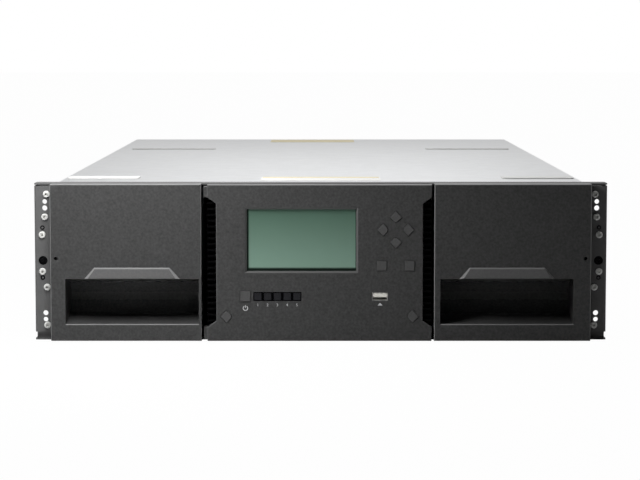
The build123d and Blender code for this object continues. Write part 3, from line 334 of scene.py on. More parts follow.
def turned_metal(name, colour, roughness, line, metallic=1.0):
    """Turned or milled metal: even tone with tool lines that break up the highlights. The real lines are
    about a tenth of a millimetre apart, and are drawn wider so that they show. Plating and passivation
    leave a milky skin, so such metal has a lower metallic share."""
    darker, paler = 0.9, 1.06
    spread = 0.06                               # of the roughness, either way
    material, tree, place = start_material(name)
    tool = add_node(tree, "ShaderNodeTexNoise", {"Vector": place, "Scale": per_metre(line), "Detail": 2.0})
    mix = add_node(tree, "ShaderNodeMix", {"Factor": tool.outputs["Fac"], "A": shade(colour, darker),
                                           "B": shade(colour, paler)}, data_type="RGBA")
    gloss = add_node(tree, "ShaderNodeMapRange", {"Value": tool.outputs["Fac"],
                                                  "To Min": roughness - spread,
                                                  "To Max": roughness + spread})
    surface = add_node(tree, "ShaderNodeBsdfPrincipled", {
        "Base Color": mix.outputs["Result"], "Metallic": metallic, "Roughness": gloss.outputs["Result"]})
    return finish_material(material, tree, surface)


def screen_film(name, low, high):
    """Unlit liquid crystal under an anti-glare film: grey-green that grows paler toward the bottom, its
    darker top a painted shade, with a black band at the left, right and bottom of the window that is
    partly the crystal's black mask and partly painted shadow of the window's walls."""
    corner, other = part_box("screen_glass")
    mask_and_shadow_bands = (("X", corner.x, 3.6 * MM), ("X", other.x, -2.5 * MM), ("Z", corner.z, 4.6 * MM))
    blur = 0.15                                 # of a mask's width, either way
    mask_and_shadow_tone = 0.15
    material, tree, place = start_material(name)
    part = add_node(tree, "ShaderNodeSeparateXYZ", {"Vector": place})
    level = add_node(tree, "ShaderNodeMapRange", {"Value": part.outputs["Z"], "From Min": corner.z,
                                                  "From Max": other.z})
    # Painted shade: the crystal is darker toward the top of the window
    crystal = add_node(tree, "ShaderNodeMix", {"Factor": level.outputs["Result"], "A": shade(low),
                                               "B": shade(high)}, data_type="RGBA")
    inside = 1.0
    # Painted shadow: each band widens the crystal's black mask with the shadow of the window's walls
    for axis, edge, width in mask_and_shadow_bands:
        ramp = add_node(tree, "ShaderNodeMapRange", {"Value": part.outputs[axis],
                                                     "From Min": edge + (1 - blur) * width,
                                                     "From Max": edge + (1 + blur) * width})
        inside = add_node(tree, "ShaderNodeMath", {0: ramp.outputs["Result"], 1: inside},
                          operation="MULTIPLY").outputs["Value"]
    film = add_node(tree, "ShaderNodeMix", {"Factor": inside, "A": shade(high, mask_and_shadow_tone),
                                            "B": crystal.outputs["Result"]}, data_type="RGBA")
    surface = add_node(tree, "ShaderNodeBsdfPrincipled", {
        "Base Color": film.outputs["Result"], "Roughness": 0.3, "Specular IOR Level": 0.3})
    return finish_material(material, tree, surface)


def circuit_board(name):
    """Glass-epoxy board under green solder mask, with paler copper tracks showing through."""
    track_spacing = 6                           # millimetres
    material, tree, place = start_material(name)
    tracks = add_node(tree, "ShaderNodeTexBrick", {
        "Vector": place, "Scale": per_metre(track_spacing), "Color1": shade(linear("#1F5A34")),
        "Color2": shade(linear("#23633A")), "Mortar": shade(linear("#3A8252")), "Mortar Size": 0.06})
    surface = add_node(tree, "ShaderNodeBsdfPrincipled", {
        "Base Color": tracks.outputs["Color"], "Roughness": 0.35})
    return finish_material(material, tree, surface)


def matte_print(name, colour):
    """Coated label stock or screen-printed ink: matte, with faint fibres or mesh marks. They are drawn
    1.2 mm wide, coarser than they are, so that they show."""
    fibre_width = 1.2                           # millimetres
    darker, paler = 0.96, 1.03
    material, tree, place = start_material(name)
    fibre = add_node(tree, "ShaderNodeTexNoise", {"Vector": place, "Scale": per_metre(fibre_width),
                                                  "Detail": 3.0})
    mix = add_node(tree, "ShaderNodeMix", {"Factor": fibre.outputs["Fac"], "A": shade(colour, darker),
                                           "B": shade(colour, paler)}, data_type="RGBA")
    surface = add_node(tree, "ShaderNodeBsdfPrincipled", {"Base Color": mix.outputs["Result"],
                                                          "Roughness": 0.6})
    return finish_material(material, tree, surface)


# Surfaces

def grid_faces(rows, columns):
    """Quads between neighbours of a grid of points, whose last column is joined to its first."""
    index = np.arange(rows * columns).reshape(rows, columns)
    index = np.hstack([index, index[:, :1]])
    quads = np.stack([index[:-1, :-1], index[:-1, 1:], index[1:, 1:], index[1:, :-1]], axis=-1)
    return quads.reshape(-1, 4)


def repeated(surface, places):
    """The same surface at each place: every point plus every place, and the faces counted on."""
    points, faces = surface
    many = (places[:, None, :] + points[None, :, :]).reshape(-1, 3)
    count = np.arange(len(places))[:, None, None] * len(points)
    return many, (faces[None, :, :] + count).reshape(-1, faces.shape[1])


def joined(*surfaces):
    """Several surfaces as one list of points and faces."""
    starts = np.cumsum([0] + [len(points) for points, _ in surfaces[:-1]])
    points = np.vstack([points for points, _ in surfaces])
    return points, np.vstack([faces + start for (_, faces), start in zip(surfaces, starts)])


def moved(surface, offset):
    """Surface shifted by an offset."""
    points, faces = surface
    return points + np.array(offset), faces


def upright(surface):
    """Surface that lies on its back raised to face -Y: (x, y, z) becomes (x, -z, y)."""
    points, faces = surface
    return points[:, [0, 2, 1]] * (1, -1, 1), faces


def turned(profile, steps=40, lobes=0, swing=0.0):
    """Solid of revolution about Y: each profile point (r, y) gives a ring r (cos a, 0, sin a) at depth y.
    With lobes, r is multiplied by 1 + swing cos(lobes a), with one swing for each profile point."""
    radius, depth = np.array(profile).T
    angle = np.linspace(0, tau, steps, endpoint=False)
    wave = 1 + np.multiply.outer(np.broadcast_to(swing, radius.shape), np.cos(lobes * angle))
    ring = radius[:, None] * wave
    points = np.stack([ring * np.cos(angle), np.broadcast_to(depth[:, None], ring.shape),
                       ring * np.sin(angle)], axis=-1)
    return points.reshape(-1, 3), grid_faces(len(radius), steps)


def pan_screw(head, rise, recess, lobes=6, crown_steps=7):
    """Pan head toward -Y: a lobed recess with a flat floor, a crown that falls to the rim as the square
    root of a cosine, and the shank behind."""
    crown_start, floor_depth, taper = 1.35 * recess, 0.3 * rise, 0.85
    shank, shank_end = 0.75 * head, 3 * MM
    lobe_swing = 0.2
    fall = np.linspace(0, pi / 2, crown_steps)
    crown = np.column_stack([crown_start + (head - crown_start) * np.sin(fall),
                             -rise * np.cos(fall) ** 0.5])
    floor = [(0, floor_depth), (taper * recess, floor_depth), (recess, -rise)]
    profile = np.vstack([floor, crown, [(shank, 0), (shank, shank_end), (0, shank_end)]])
    swing = np.zeros(len(profile))
    swing[1:3] = lobe_swing
    return turned(profile, steps=48, lobes=lobes, swing=swing)


def thumb_screw(radius, rise):
    """Knurled head toward +Y: rings from the neck to the crown, whose radius swings with the knurl's
    ridges, and a domed end."""
    ridges, ridge_swing, rim_swing = 26, 0.045, 0.02
    profile = np.array([(0, 0), (0.75, 0), (0.75, 0.2), (1, 0.24), (1, 0.86), (0.9, 0.95), (0.55, 1),
                        (0, 1)])
    swing = [0, 0, 0, ridge_swing, ridge_swing, rim_swing, 0, 0]
    return turned(profile * (radius, rise), steps=4 * ridges, lobes=ridges, swing=swing)


def ring_tube(radius, wire, steps=56, wire_steps=12):
    """Torus in the XZ plane: a circle of the wire's radius carried round a circle of the ring's radius."""
    around = np.linspace(0, tau, wire_steps + 1)
    profile = np.column_stack([radius + wire * np.cos(around), wire * np.sin(around)])
    return turned(profile, steps)


def straight_wire(start, end, wire, steps=10):
    """Round wire between two points: circles across the line from one end to the other, closed to a
    point at both ends."""
    start, end = np.array(start), np.array(end)
    along = (end - start) / np.linalg.norm(end - start)
    side = np.cross(along, (0.0, 1.0, 0.0))
    up = np.cross(along, side)
    angle = np.linspace(0, tau, steps, endpoint=False)
    circle = np.multiply.outer(np.cos(angle), side) + np.multiply.outer(np.sin(angle), up)
    stations = np.stack([start, start, end, end])
    radius = np.array([0, wire, wire, 0])
    points = stations[:, None, :] + radius[:, None, None] * circle[None]
    return points.reshape(-1, 3), grid_faces(len(stations), steps)


def rounded_plate(width, depth, corner, thick, edge, steps=7):
    """Flat plate with round corners, lying in XY on z = 0: an outline of four quarter circles, lifted to
    the thickness, drawn in at the edge and closed to the middle at top and bottom."""
    quarter = np.linspace(0, pi / 2, steps)
    angle = (quarter[None, :] + np.arange(4)[:, None] * pi / 2).ravel()
    sign_x = np.repeat([1, -1, -1, 1], steps)
    sign_y = np.repeat([1, 1, -1, -1], steps)
    inner = np.column_stack([sign_x * (width / 2 - corner), sign_y * (depth / 2 - corner)])
    outline = np.column_stack([np.cos(angle), np.sin(angle)])
    rims = [(corner, 0), (corner, thick - edge), (corner - edge, thick)]
    rings = [np.column_stack([inner + outline * r, np.full(len(angle), z)]) for r, z in rims]
    floor = np.zeros((len(angle), 3))
    roof = floor + (0, 0, thick)
    points = np.stack([floor, *rings, roof])
    return points.reshape(-1, 3), grid_faces(len(points), len(angle))


def arc_band(radius, width, thick, begin, end, steps=40):
    """Flat band along part of a circle in the XZ plane: a rectangle of width by thickness carried along
    the arc and closed at both ends."""
    angle = np.linspace(begin, end, steps)
    stations = np.concatenate([angle[:1], angle, angle[-1:]])
    spread = np.ones(len(stations))
    spread[[0, -1]] = 0
    across = np.array([-0.5, 0.5, 0.5, -0.5]) * width
    back = np.array([0.0, 0.0, -1.0, -1.0]) * thick
    ring = radius + across[None, :] * spread[:, None]
    points = np.stack([ring * np.cos(stations)[:, None], np.broadcast_to(back, ring.shape),
                       ring * np.sin(stations)[:, None]], axis=-1)
    return points.reshape(-1, 3), grid_faces(len(stations), len(across))


def thread_surface(low, high, radius, depth, lead, starts, rows=260, steps=64):
    """Lift screw along Z: at height z and angle a the radius is the crest less the depth times a
    flattened cosine of starts (a + 2 pi z / lead), with rings closed to the axis at both ends."""
    steepness = 0.9
    angle = np.linspace(0, tau, steps, endpoint=False)
    height = np.linspace(low, high, rows)
    phase = starts * (angle[None, :] + tau * height[:, None] / lead)
    groove = np.clip(0.5 + steepness * np.cos(phase), 0, 1)
    ring = radius - depth * groove
    ring = np.vstack([np.zeros_like(ring[:1]), ring, np.zeros_like(ring[:1])])
    level = np.concatenate([height[:1], height, height[-1:]])
    points = np.stack([ring * np.cos(angle), ring * np.sin(angle),
                       np.broadcast_to(level[:, None], ring.shape)], axis=-1)
    return points.reshape(-1, 3), grid_faces(len(level), steps)


def add_piece(name, mesh, material, body, replaced=()):
    """Object of a finished mesh, with its material, that rides on a body and hides the parts it replaces.
    """
    mesh.materials.clear()
    mesh.materials.append(material)
    piece = bpy.data.objects.new(name, mesh)
    bpy.context.scene.collection.objects.link(piece)
    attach(piece, body)
    if replaced:
        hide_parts(*replaced)


def make_piece(name, surface, material, body, replaced=()):
    """Piece from points and faces, with doubles merged, normals outward and edges kept sharp."""
    merge_distance = 0.001 * MM
    sharp_angle = radians(32)
    points, faces = surface
    mesh = bpy.data.meshes.new(name)
    mesh.from_pydata(points.tolist(), [], faces.tolist())
    work = bmesh.new()
    work.from_mesh(mesh)
    bmesh.ops.remove_doubles(work, verts=work.verts, dist=merge_distance)
    bmesh.ops.recalc_face_normals(work, faces=work.faces)
    work.to_mesh(mesh)
    work.free()
    mesh.shade_smooth()
    mesh.set_sharp_from_angle(angle=sharp_angle)
    add_piece(name, mesh, material, body, replaced)


def ear_places(side, places):
    """Places on the front of an ear: insets are taken from the rack's half width, rises from its centre."""
    inset, rise = places.T
    return np.column_stack([side * (half_rack - inset), np.full(len(places), ear_plane),
                            rack_centre + rise])


def plate_places(node, inset, margin=None):
    """Places on a rear plate, at an inset from the node's left and right ends: at its mid height, or at a
    margin from its foot and its top."""
    low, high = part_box(node)
    levels = [(low.z + high.z) / 2] if margin is None else [low.z + margin, high.z - margin]
    return np.array([(x, plate_plane, z) for z in levels for x in (low.x + inset, high.x - inset)])


class PieceOperator:
    """Common settings of the operators that build the object."""
    bl_options = {"REGISTER", "UNDO"}


class TAPELIB_OT_finishes(PieceOperator, bpy.types.Operator):
    """Give every solid the finish of its material slot"""
    bl_idname = "tapelib.finishes"
    bl_label = "Finishes"

    def execute(self, context):
        c = context.scene.tapelib_colours
        bezel = {"grain": 2.0, "fleck": 0.24, "relief": 0.35, "roughness": 0.4, "specular": 0.4,
                 "smooth": 0.2}
        made = {
            # Textured ABS: dark, visibly grained faces between smooth bevels, whose paler colour is a
            # painted highlight
            "bezel_plastic": moulded_plastic("grained_abs", c.bezel, edge=1.7, **bezel),
            # Finer-grained ABS of the key caps: a shade paler and flatter than the bezel around them
            "key_plastic": moulded_plastic("key_abs", c.keys, grain=1.2, fleck=0.08, relief=0.15,
                                           roughness=0.48, specular=0.3),
            # Glass-filled nylon: black and dull
            "black_plastic": moulded_plastic("black_nylon", linear("#0C0C0D"), grain=1.0, fleck=0.2,
                                             relief=0.2, roughness=0.6, specular=0.2),
            # Filled polycarbonate: mid grey with a quiet sheen
            "magazine_plastic": moulded_plastic("tray_polycarbonate", c.tray, grain=1.4, fleck=0.1,
                                                relief=0.2, roughness=0.5, specular=0.3),
            # Acetal: pale grey, waxy and even
            "robot_plastic": moulded_plastic("picker_acetal", c.robot, grain=2.0, fleck=0.05, relief=0.1,
                                             roughness=0.42),
            # Moulded rubber: white and matte
            "pad_plastic": moulded_plastic("white_pad_rubber", linear("#F4F4F2"), grain=1.5, fleck=0.03,
                                           relief=0.1, roughness=0.6),
            # Smoked acrylic: a smooth black window
            "window": moulded_plastic("smoked_acrylic", linear("#08080A"), grain=4.0, fleck=0.1, relief=0.0,
                                      roughness=0.25, specular=0.1),
            # Unlit light guides: grey, a little paler than the window around them
            "lens": moulded_plastic("light_guide_polycarbonate", linear("#2E2E31"), grain=1.0, fleck=0.15,
                                    relief=0.1, roughness=0.4, specular=0.1),
            # Frame of the screen, behind the panel: off-white ABS
            "screen": moulded_plastic("screen_frame_abs", linear("#D8D8D4"), grain=2.0, fleck=0.05,
                                      relief=0.1, roughness=0.5),
            # Zinc-plated steel: bright sheet with rolling lines
            "steel": zinc_plated_sheet("zinc_plated_sheet", c.zinc),
            # Powder-coated steel: satin dark grey
            "dark_steel": coated_steel("powder_coated_steel", c.coat),
            # Satin nickel: warm white metal with soft highlights
            "nickel": turned_metal("satin_nickel", c.nickel, roughness=0.36, line=0.8, metallic=0.4),
            # Black oxide: nearly black and dull
            "black_steel": coated_steel("black_oxide_steel", linear("#161617")),
            # Milled aluminium: pale grey metal with tool lines
            "aluminium": turned_metal("milled_aluminium", linear("#C9CACC"), roughness=0.38, line=0.6),
            # Anti-glare film over the crystal: grey-green under a soft sheen
            "screen_glass": screen_film("screen_film", c.lcd_low, c.lcd_high),
            # Solder mask: green with paler tracks
            "board": circuit_board("solder_mask_board"),
        }
        # The magazine bezels get a stronger painted highlight on their bevels
        painted_highlight = moulded_plastic("painted_highlight_abs", c.bezel, edge=3.8, **bezel)
        for part in frame["record"]["subparts"]:
            solid = frame["nodes"][part["node"]]
            solid.data.materials.clear()
            magazine_front = part["node"].endswith("magazine_bezel")
            solid.data.materials.append(painted_highlight if magazine_front else made[part["material_slot"]])
        return {"FINISHED"}


class TAPELIB_OT_ear_screws(PieceOperator, bpy.types.Operator):
    """Drive the small pan-head screws into both rack ears"""
    bl_idname = "tapelib.ear_screws"
    bl_label = "Ear screws"

    def execute(self, context):
        s = context.scene.tapelib_sizes
        # Passivation leaves a milky, nearly matte skin on the zinc
        zinc = turned_metal("passivated_zinc", context.scene.tapelib_colours.screws, roughness=0.45,
                            line=0.8, metallic=0.0)
        screw = pan_screw(s.screw_head, s.screw_rise, s.star)
        for side, name in SIDES:
            make_piece(f"{name}_ear_screws", repeated(screw, ear_places(side, ear_screw_places)), zinc,
                       "chassis")
        return {"FINISHED"}


class TAPELIB_OT_captive_drives(PieceOperator, bpy.types.Operator):
    """Give the captive rack screws their cross recess and the ring around it"""
    bl_idname = "tapelib.captive_drives"
    bl_label = "Captive screw drives"

    def execute(self, context):
        s = context.scene.tapelib_sizes
        ring_radius, ring_wire, sink = 3.1 * MM, 0.3 * MM, 0.4 * MM
        # Blued steel: nearly black, with small glossy highlights
        blued = turned_metal("blued_screw_steel", linear("#1C1C1E"), roughness=0.25, line=0.8, metallic=0.5)
        crown = pan_screw(s.captive_head, s.captive_rise, s.captive_cross, lobes=4)
        drive = joined(crown, ring_tube(ring_radius, ring_wire, steps=32))
        low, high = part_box("rack_screws")
        axis = high.x - (high.z - low.z) / 2
        for side, name in SIDES:
            place = (side * axis, low.y + sink, rack_centre)
            make_piece(f"{name}_captive_drive", moved(drive, place), blued, "chassis")
        return {"FINISHED"}


class TAPELIB_OT_eyelets(PieceOperator, bpy.types.Operator):
    """Press the ring eyelets and their caps into both rack ears"""
    bl_idname = "tapelib.eyelets"
    bl_label = "Ear eyelets"

    def execute(self, context):
        radius = context.scene.tapelib_sizes.eyelet
        oxide = bpy.data.materials["black_oxide_steel"]
        coat = bpy.data.materials["powder_coated_steel"]
        wire = 0.28 * radius                    # radius of the rolled rim
        bore = radius - wire
        crown, rim, depth = -0.2 * MM, -0.1 * MM, 1 * MM
        ring = ring_tube(bore, wire, steps=32)
        cap = turned([(0, crown), (bore, rim), (bore, depth), (0, depth)], steps=32)
        for side, name in SIDES:
            places = ear_places(side, eyelet_places)
            make_piece(f"{name}_ear_eyelets", repeated(ring, places), oxide, "chassis")
            make_piece(f"{name}_eyelet_caps", repeated(cap, places), coat, "chassis")
        return {"FINISHED"}


class TAPELIB_OT_labels(PieceOperator, bpy.types.Operator):
    """Lay the blank labels on the top cover"""
    bl_idname = "tapelib.labels"
    bl_label = "Cover labels"

    def execute(self, context):
        c = context.scene.tapelib_colours
        s = context.scene.tapelib_sizes
        cut_edge = 0.04 * MM
        # Coated paper: nearly white, and the same stock with a pale amber print
        white = matte_print("white_label_stock", c.label)
        amber = matte_print("amber_label_stock", c.amber)
        # Middle across and behind the ears, width and depth, in millimetres; stock and layer
        rows = (
            ("front_label", (0, 68), (104, 46), white, 0),
            ("front_label_band", (0, 84), (102, 12), amber, 1),
            ("rear_label", (-9.5, 787), (99, 62), amber, 0),
        )
        for name, middle, size, stock, layer in rows:
            across, behind = np.array(middle) * MM
            width, depth = np.array(size) * MM
            plate = rounded_plate(width, depth, s.label_corner, s.label_thick, cut_edge)
            place = (across, ear_plane + behind, cover_top + layer * s.label_thick)
            make_piece(name, moved(plate, place), stock, "chassis")
        return {"FINISHED"}


class TAPELIB_OT_panel_marks(PieceOperator, bpy.types.Operator):
    """Print the standby sign, the socket's triangle and the numbers of the status lights on the panel"""
    bl_idname = "tapelib.panel_marks"
    bl_label = "Panel marks"

    def execute(self, context):
        s = context.scene.tapelib_sizes
        # Screen-printed ink: flat pale grey
        ink = matte_print("screen_printed_ink", context.scene.tapelib_colours.ink)
        self.standby(s, ink)
        self.triangle(s, ink)
        self.numerals(s, ink)
        return {"FINISHED"}

    @staticmethod
    def standby(s, ink):
        """Ring that is open at the top, with an upright bar in the gap."""
        gap_right, gap_left = radians(58), radians(122)
        bar_length, bar_corner, bar_edge = 2.2 * MM, 0.25 * MM, 0.01 * MM
        bar_rise, drop = 1.4 * MM, 5 * MM
        low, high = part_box("power_key")
        ring = arc_band(s.sign, s.stroke, s.ink, gap_left, gap_right + tau)
        bar = upright(rounded_plate(s.stroke, bar_length, bar_corner, s.ink, bar_edge))
        sign = joined(ring, moved(bar, (0, 0, bar_rise)))
        make_piece("standby_sign", moved(sign, ((low.x + high.x) / 2, face_plane, low.z - drop)), ink,
                   "chassis")

    @staticmethod
    def triangle(s, ink):
        """Plain triangle that points to the socket: a disc of three steps with one corner turned up by
        taking (z, y, x) for (x, y, z), made wider and lower."""
        radius, drop = 2 * MM, 3.4 * MM
        wider_and_lower = (1.2, 1, 0.8)
        low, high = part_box("usb_socket")
        points, faces = turned([(0, 0), (radius, 0), (radius, -s.ink), (0, -s.ink)], steps=3)
        place = ((low.x + high.x) / 2, face_plane, low.z - drop)
        make_piece("socket_mark", moved((points[:, ::-1] * wider_and_lower, faces), place), ink, "chassis")

    @staticmethod
    def numerals(s, ink):
        """Numbers 1 to 5, each under the middle of its status light. The lights are square, so the first
        and the last middle lie half a light's height from the ends of the row."""
        count = 5
        figure_share = 0.7          # height of a figure in a font of size 1
        drop = 5.2 * MM
        low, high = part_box("status_lenses")
        half_light = (high.z - low.z) / 2
        middles = np.linspace(low.x + half_light, high.x - half_light, count)
        for number, x in enumerate(middles.tolist(), 1):
            letter = bpy.data.curves.new(f"numeral_{number}", "FONT")
            letter.body = str(number)
            letter.size = s.numeral / figure_share
            letter.extrude = s.ink / 2
            letter.align_x = "CENTER"
            writing = bpy.data.objects.new(letter.name, letter)
            bpy.context.scene.collection.objects.link(writing)
            bpy.context.view_layer.update()
            mesh = bpy.data.meshes.new_from_object(writing)
            bpy.data.objects.remove(writing)
            place = Matrix.Translation((x, face_plane - s.ink / 2, low.z - drop))
            mesh.transform(place @ Matrix.Rotation(radians(90), 4, "X"))
            add_piece(f"status_numeral_{number}", mesh, ink, "chassis")


class TAPELIB_OT_socket_insulator(PieceOperator, bpy.types.Operator):
    """Fit the white insulator that fills the upper half of the socket"""
    bl_idname = "tapelib.socket_insulator"
    bl_label = "Socket insulator"

    def execute(self, context):
        height = context.scene.tapelib_sizes.insulator
        shell, depth, set_back = 0.5 * MM, 4 * MM, 0.2 * MM
        corner, edge = 0.3 * MM, 0.2 * MM
        # Unfilled nylon: milky white with a soft sheen
        nylon = moulded_plastic("insulator_nylon", linear("#FAF8F0"), grain=1.5, fleck=0.04, relief=0.1,
                                roughness=0.5)
        low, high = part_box("usb_socket")
        block = upright(rounded_plate(high.x - low.x - 2 * shell, height, corner, depth, edge))
        place = ((low.x + high.x) / 2, low.y + set_back + depth, high.z - shell - height / 2)
        make_piece("socket_insulator", moved(block, place), nylon, "chassis")
        return {"FINISHED"}


class TAPELIB_OT_lift_thread(PieceOperator, bpy.types.Operator):
    """Cut the threads of the robot's lift screw"""
    bl_idname = "tapelib.lift_thread"
    bl_label = "Lift screw"

    def execute(self, context):
        s = context.scene.tapelib_sizes
        low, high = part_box("lift_screw")
        thread = thread_surface(low.z, high.z, (high.x - low.x) / 2, s.thread, s.lead, s.starts)
        middle = ((low.x + high.x) / 2, (low.y + high.y) / 2, 0)
        make_piece("lift_screw_thread", moved(thread, middle), bpy.data.materials["satin_nickel"], "screw",
                   ("lift_screw",))
        return {"FINISHED"}


class TAPELIB_OT_fan_guards(PieceOperator, bpy.types.Operator):
    """Put the wire guards on the fans of the power supplies"""
    bl_idname = "tapelib.fan_guards"
    bl_label = "Fan guards"

    def execute(self, context):
        s = context.scene.tapelib_sizes
        ring_shares = (0.32, 0.56, 0.8, 1.0)
        spoke_end = 0.7526 * s.guard            # across and up, so a little beyond the outer ring
        behind = (0, -0.6 * s.wire, 0)          # spokes lie behind the rings and are welded to them
        rings = [ring_tube(share * s.guard, s.wire) for share in ring_shares]
        ends = np.array([(spoke_end, 0, spoke_end), (spoke_end, 0, -spoke_end)])
        spokes = [moved(straight_wire(-end, end, s.wire), behind) for end in ends]
        guard = joined(*rings, *spokes)
        for level in ("lower", "upper"):
            low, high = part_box(f"{level}_fan")
            centre = ((low.x + high.x) / 2, plate_plane + s.wire, (low.z + high.z) / 2)
            make_piece(f"{level}_fan_guard", moved(guard, centre), bpy.data.materials["satin_nickel"],
                       f"{level}_supply")
        return {"FINISHED"}


class TAPELIB_OT_thumb_screws(PieceOperator, bpy.types.Operator):
    """Add the knurled screws of the modules at the rear"""
    bl_idname = "tapelib.thumb_screws"
    bl_label = "Thumb screws"

    def execute(self, context):
        s = context.scene.tapelib_sizes
        knob = thumb_screw(s.thumb, s.thumb_rise)
        # Piece, node that it holds, body, inset from the node's ends and margin from its foot and top
        rows = (
            ("lower_supply_screws", "lower_power_supply", "lower_supply", 5 * MM, None),
            ("upper_supply_screws", "upper_power_supply", "upper_supply", 5 * MM, None),
            ("controller_screws", "controller", "chassis", 5 * MM, 12 * MM),
            ("drive_screws", "drive_sled", "drive", 7 * MM, None),
        )
        for name, node, body, inset, margin in rows:
            places = plate_places(node, inset, margin)
            make_piece(name, repeated(knob, places), bpy.data.materials["satin_nickel"], body)
        return {"FINISHED"}


class TAPELIB_OT_body_screws(PieceOperator, bpy.types.Operator):
    """Add the pan-head screws of the bay covers and of the body's sides"""
    bl_idname = "tapelib.body_screws"
    bl_label = "Body screws"

    def execute(self, context):
        s = context.scene.tapelib_sizes
        nickel = bpy.data.materials["satin_nickel"]
        cover_inset = 6 * MM
        count, from_front, from_rear, from_top = 6, 40 * MM, 25 * MM, 7 * MM
        points, faces = pan_screw(s.screw_head, s.screw_rise, s.star)
        backward = (points * (-1, -1, 1), faces)
        low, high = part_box("bay_covers")
        places = plate_places("bay_covers", cover_inset, (high.z - low.z) / 4)
        make_piece("bay_cover_screws", repeated(backward, places), nickel, "chassis")
        for side, name in SIDES:
            low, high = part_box(f"{name}_side_wall")
            outward = (points[:, [1, 0, 2]] * (-side, side, 1), faces)
            along = np.linspace(low.y + from_front, high.y - from_rear, count)
            places = np.column_stack([np.full(count, side * half_body), along,
                                      np.full(count, high.z - from_top)])
            make_piece(f"{name}_side_screws", repeated(outward, places), nickel, "chassis")
        return {"FINISHED"}


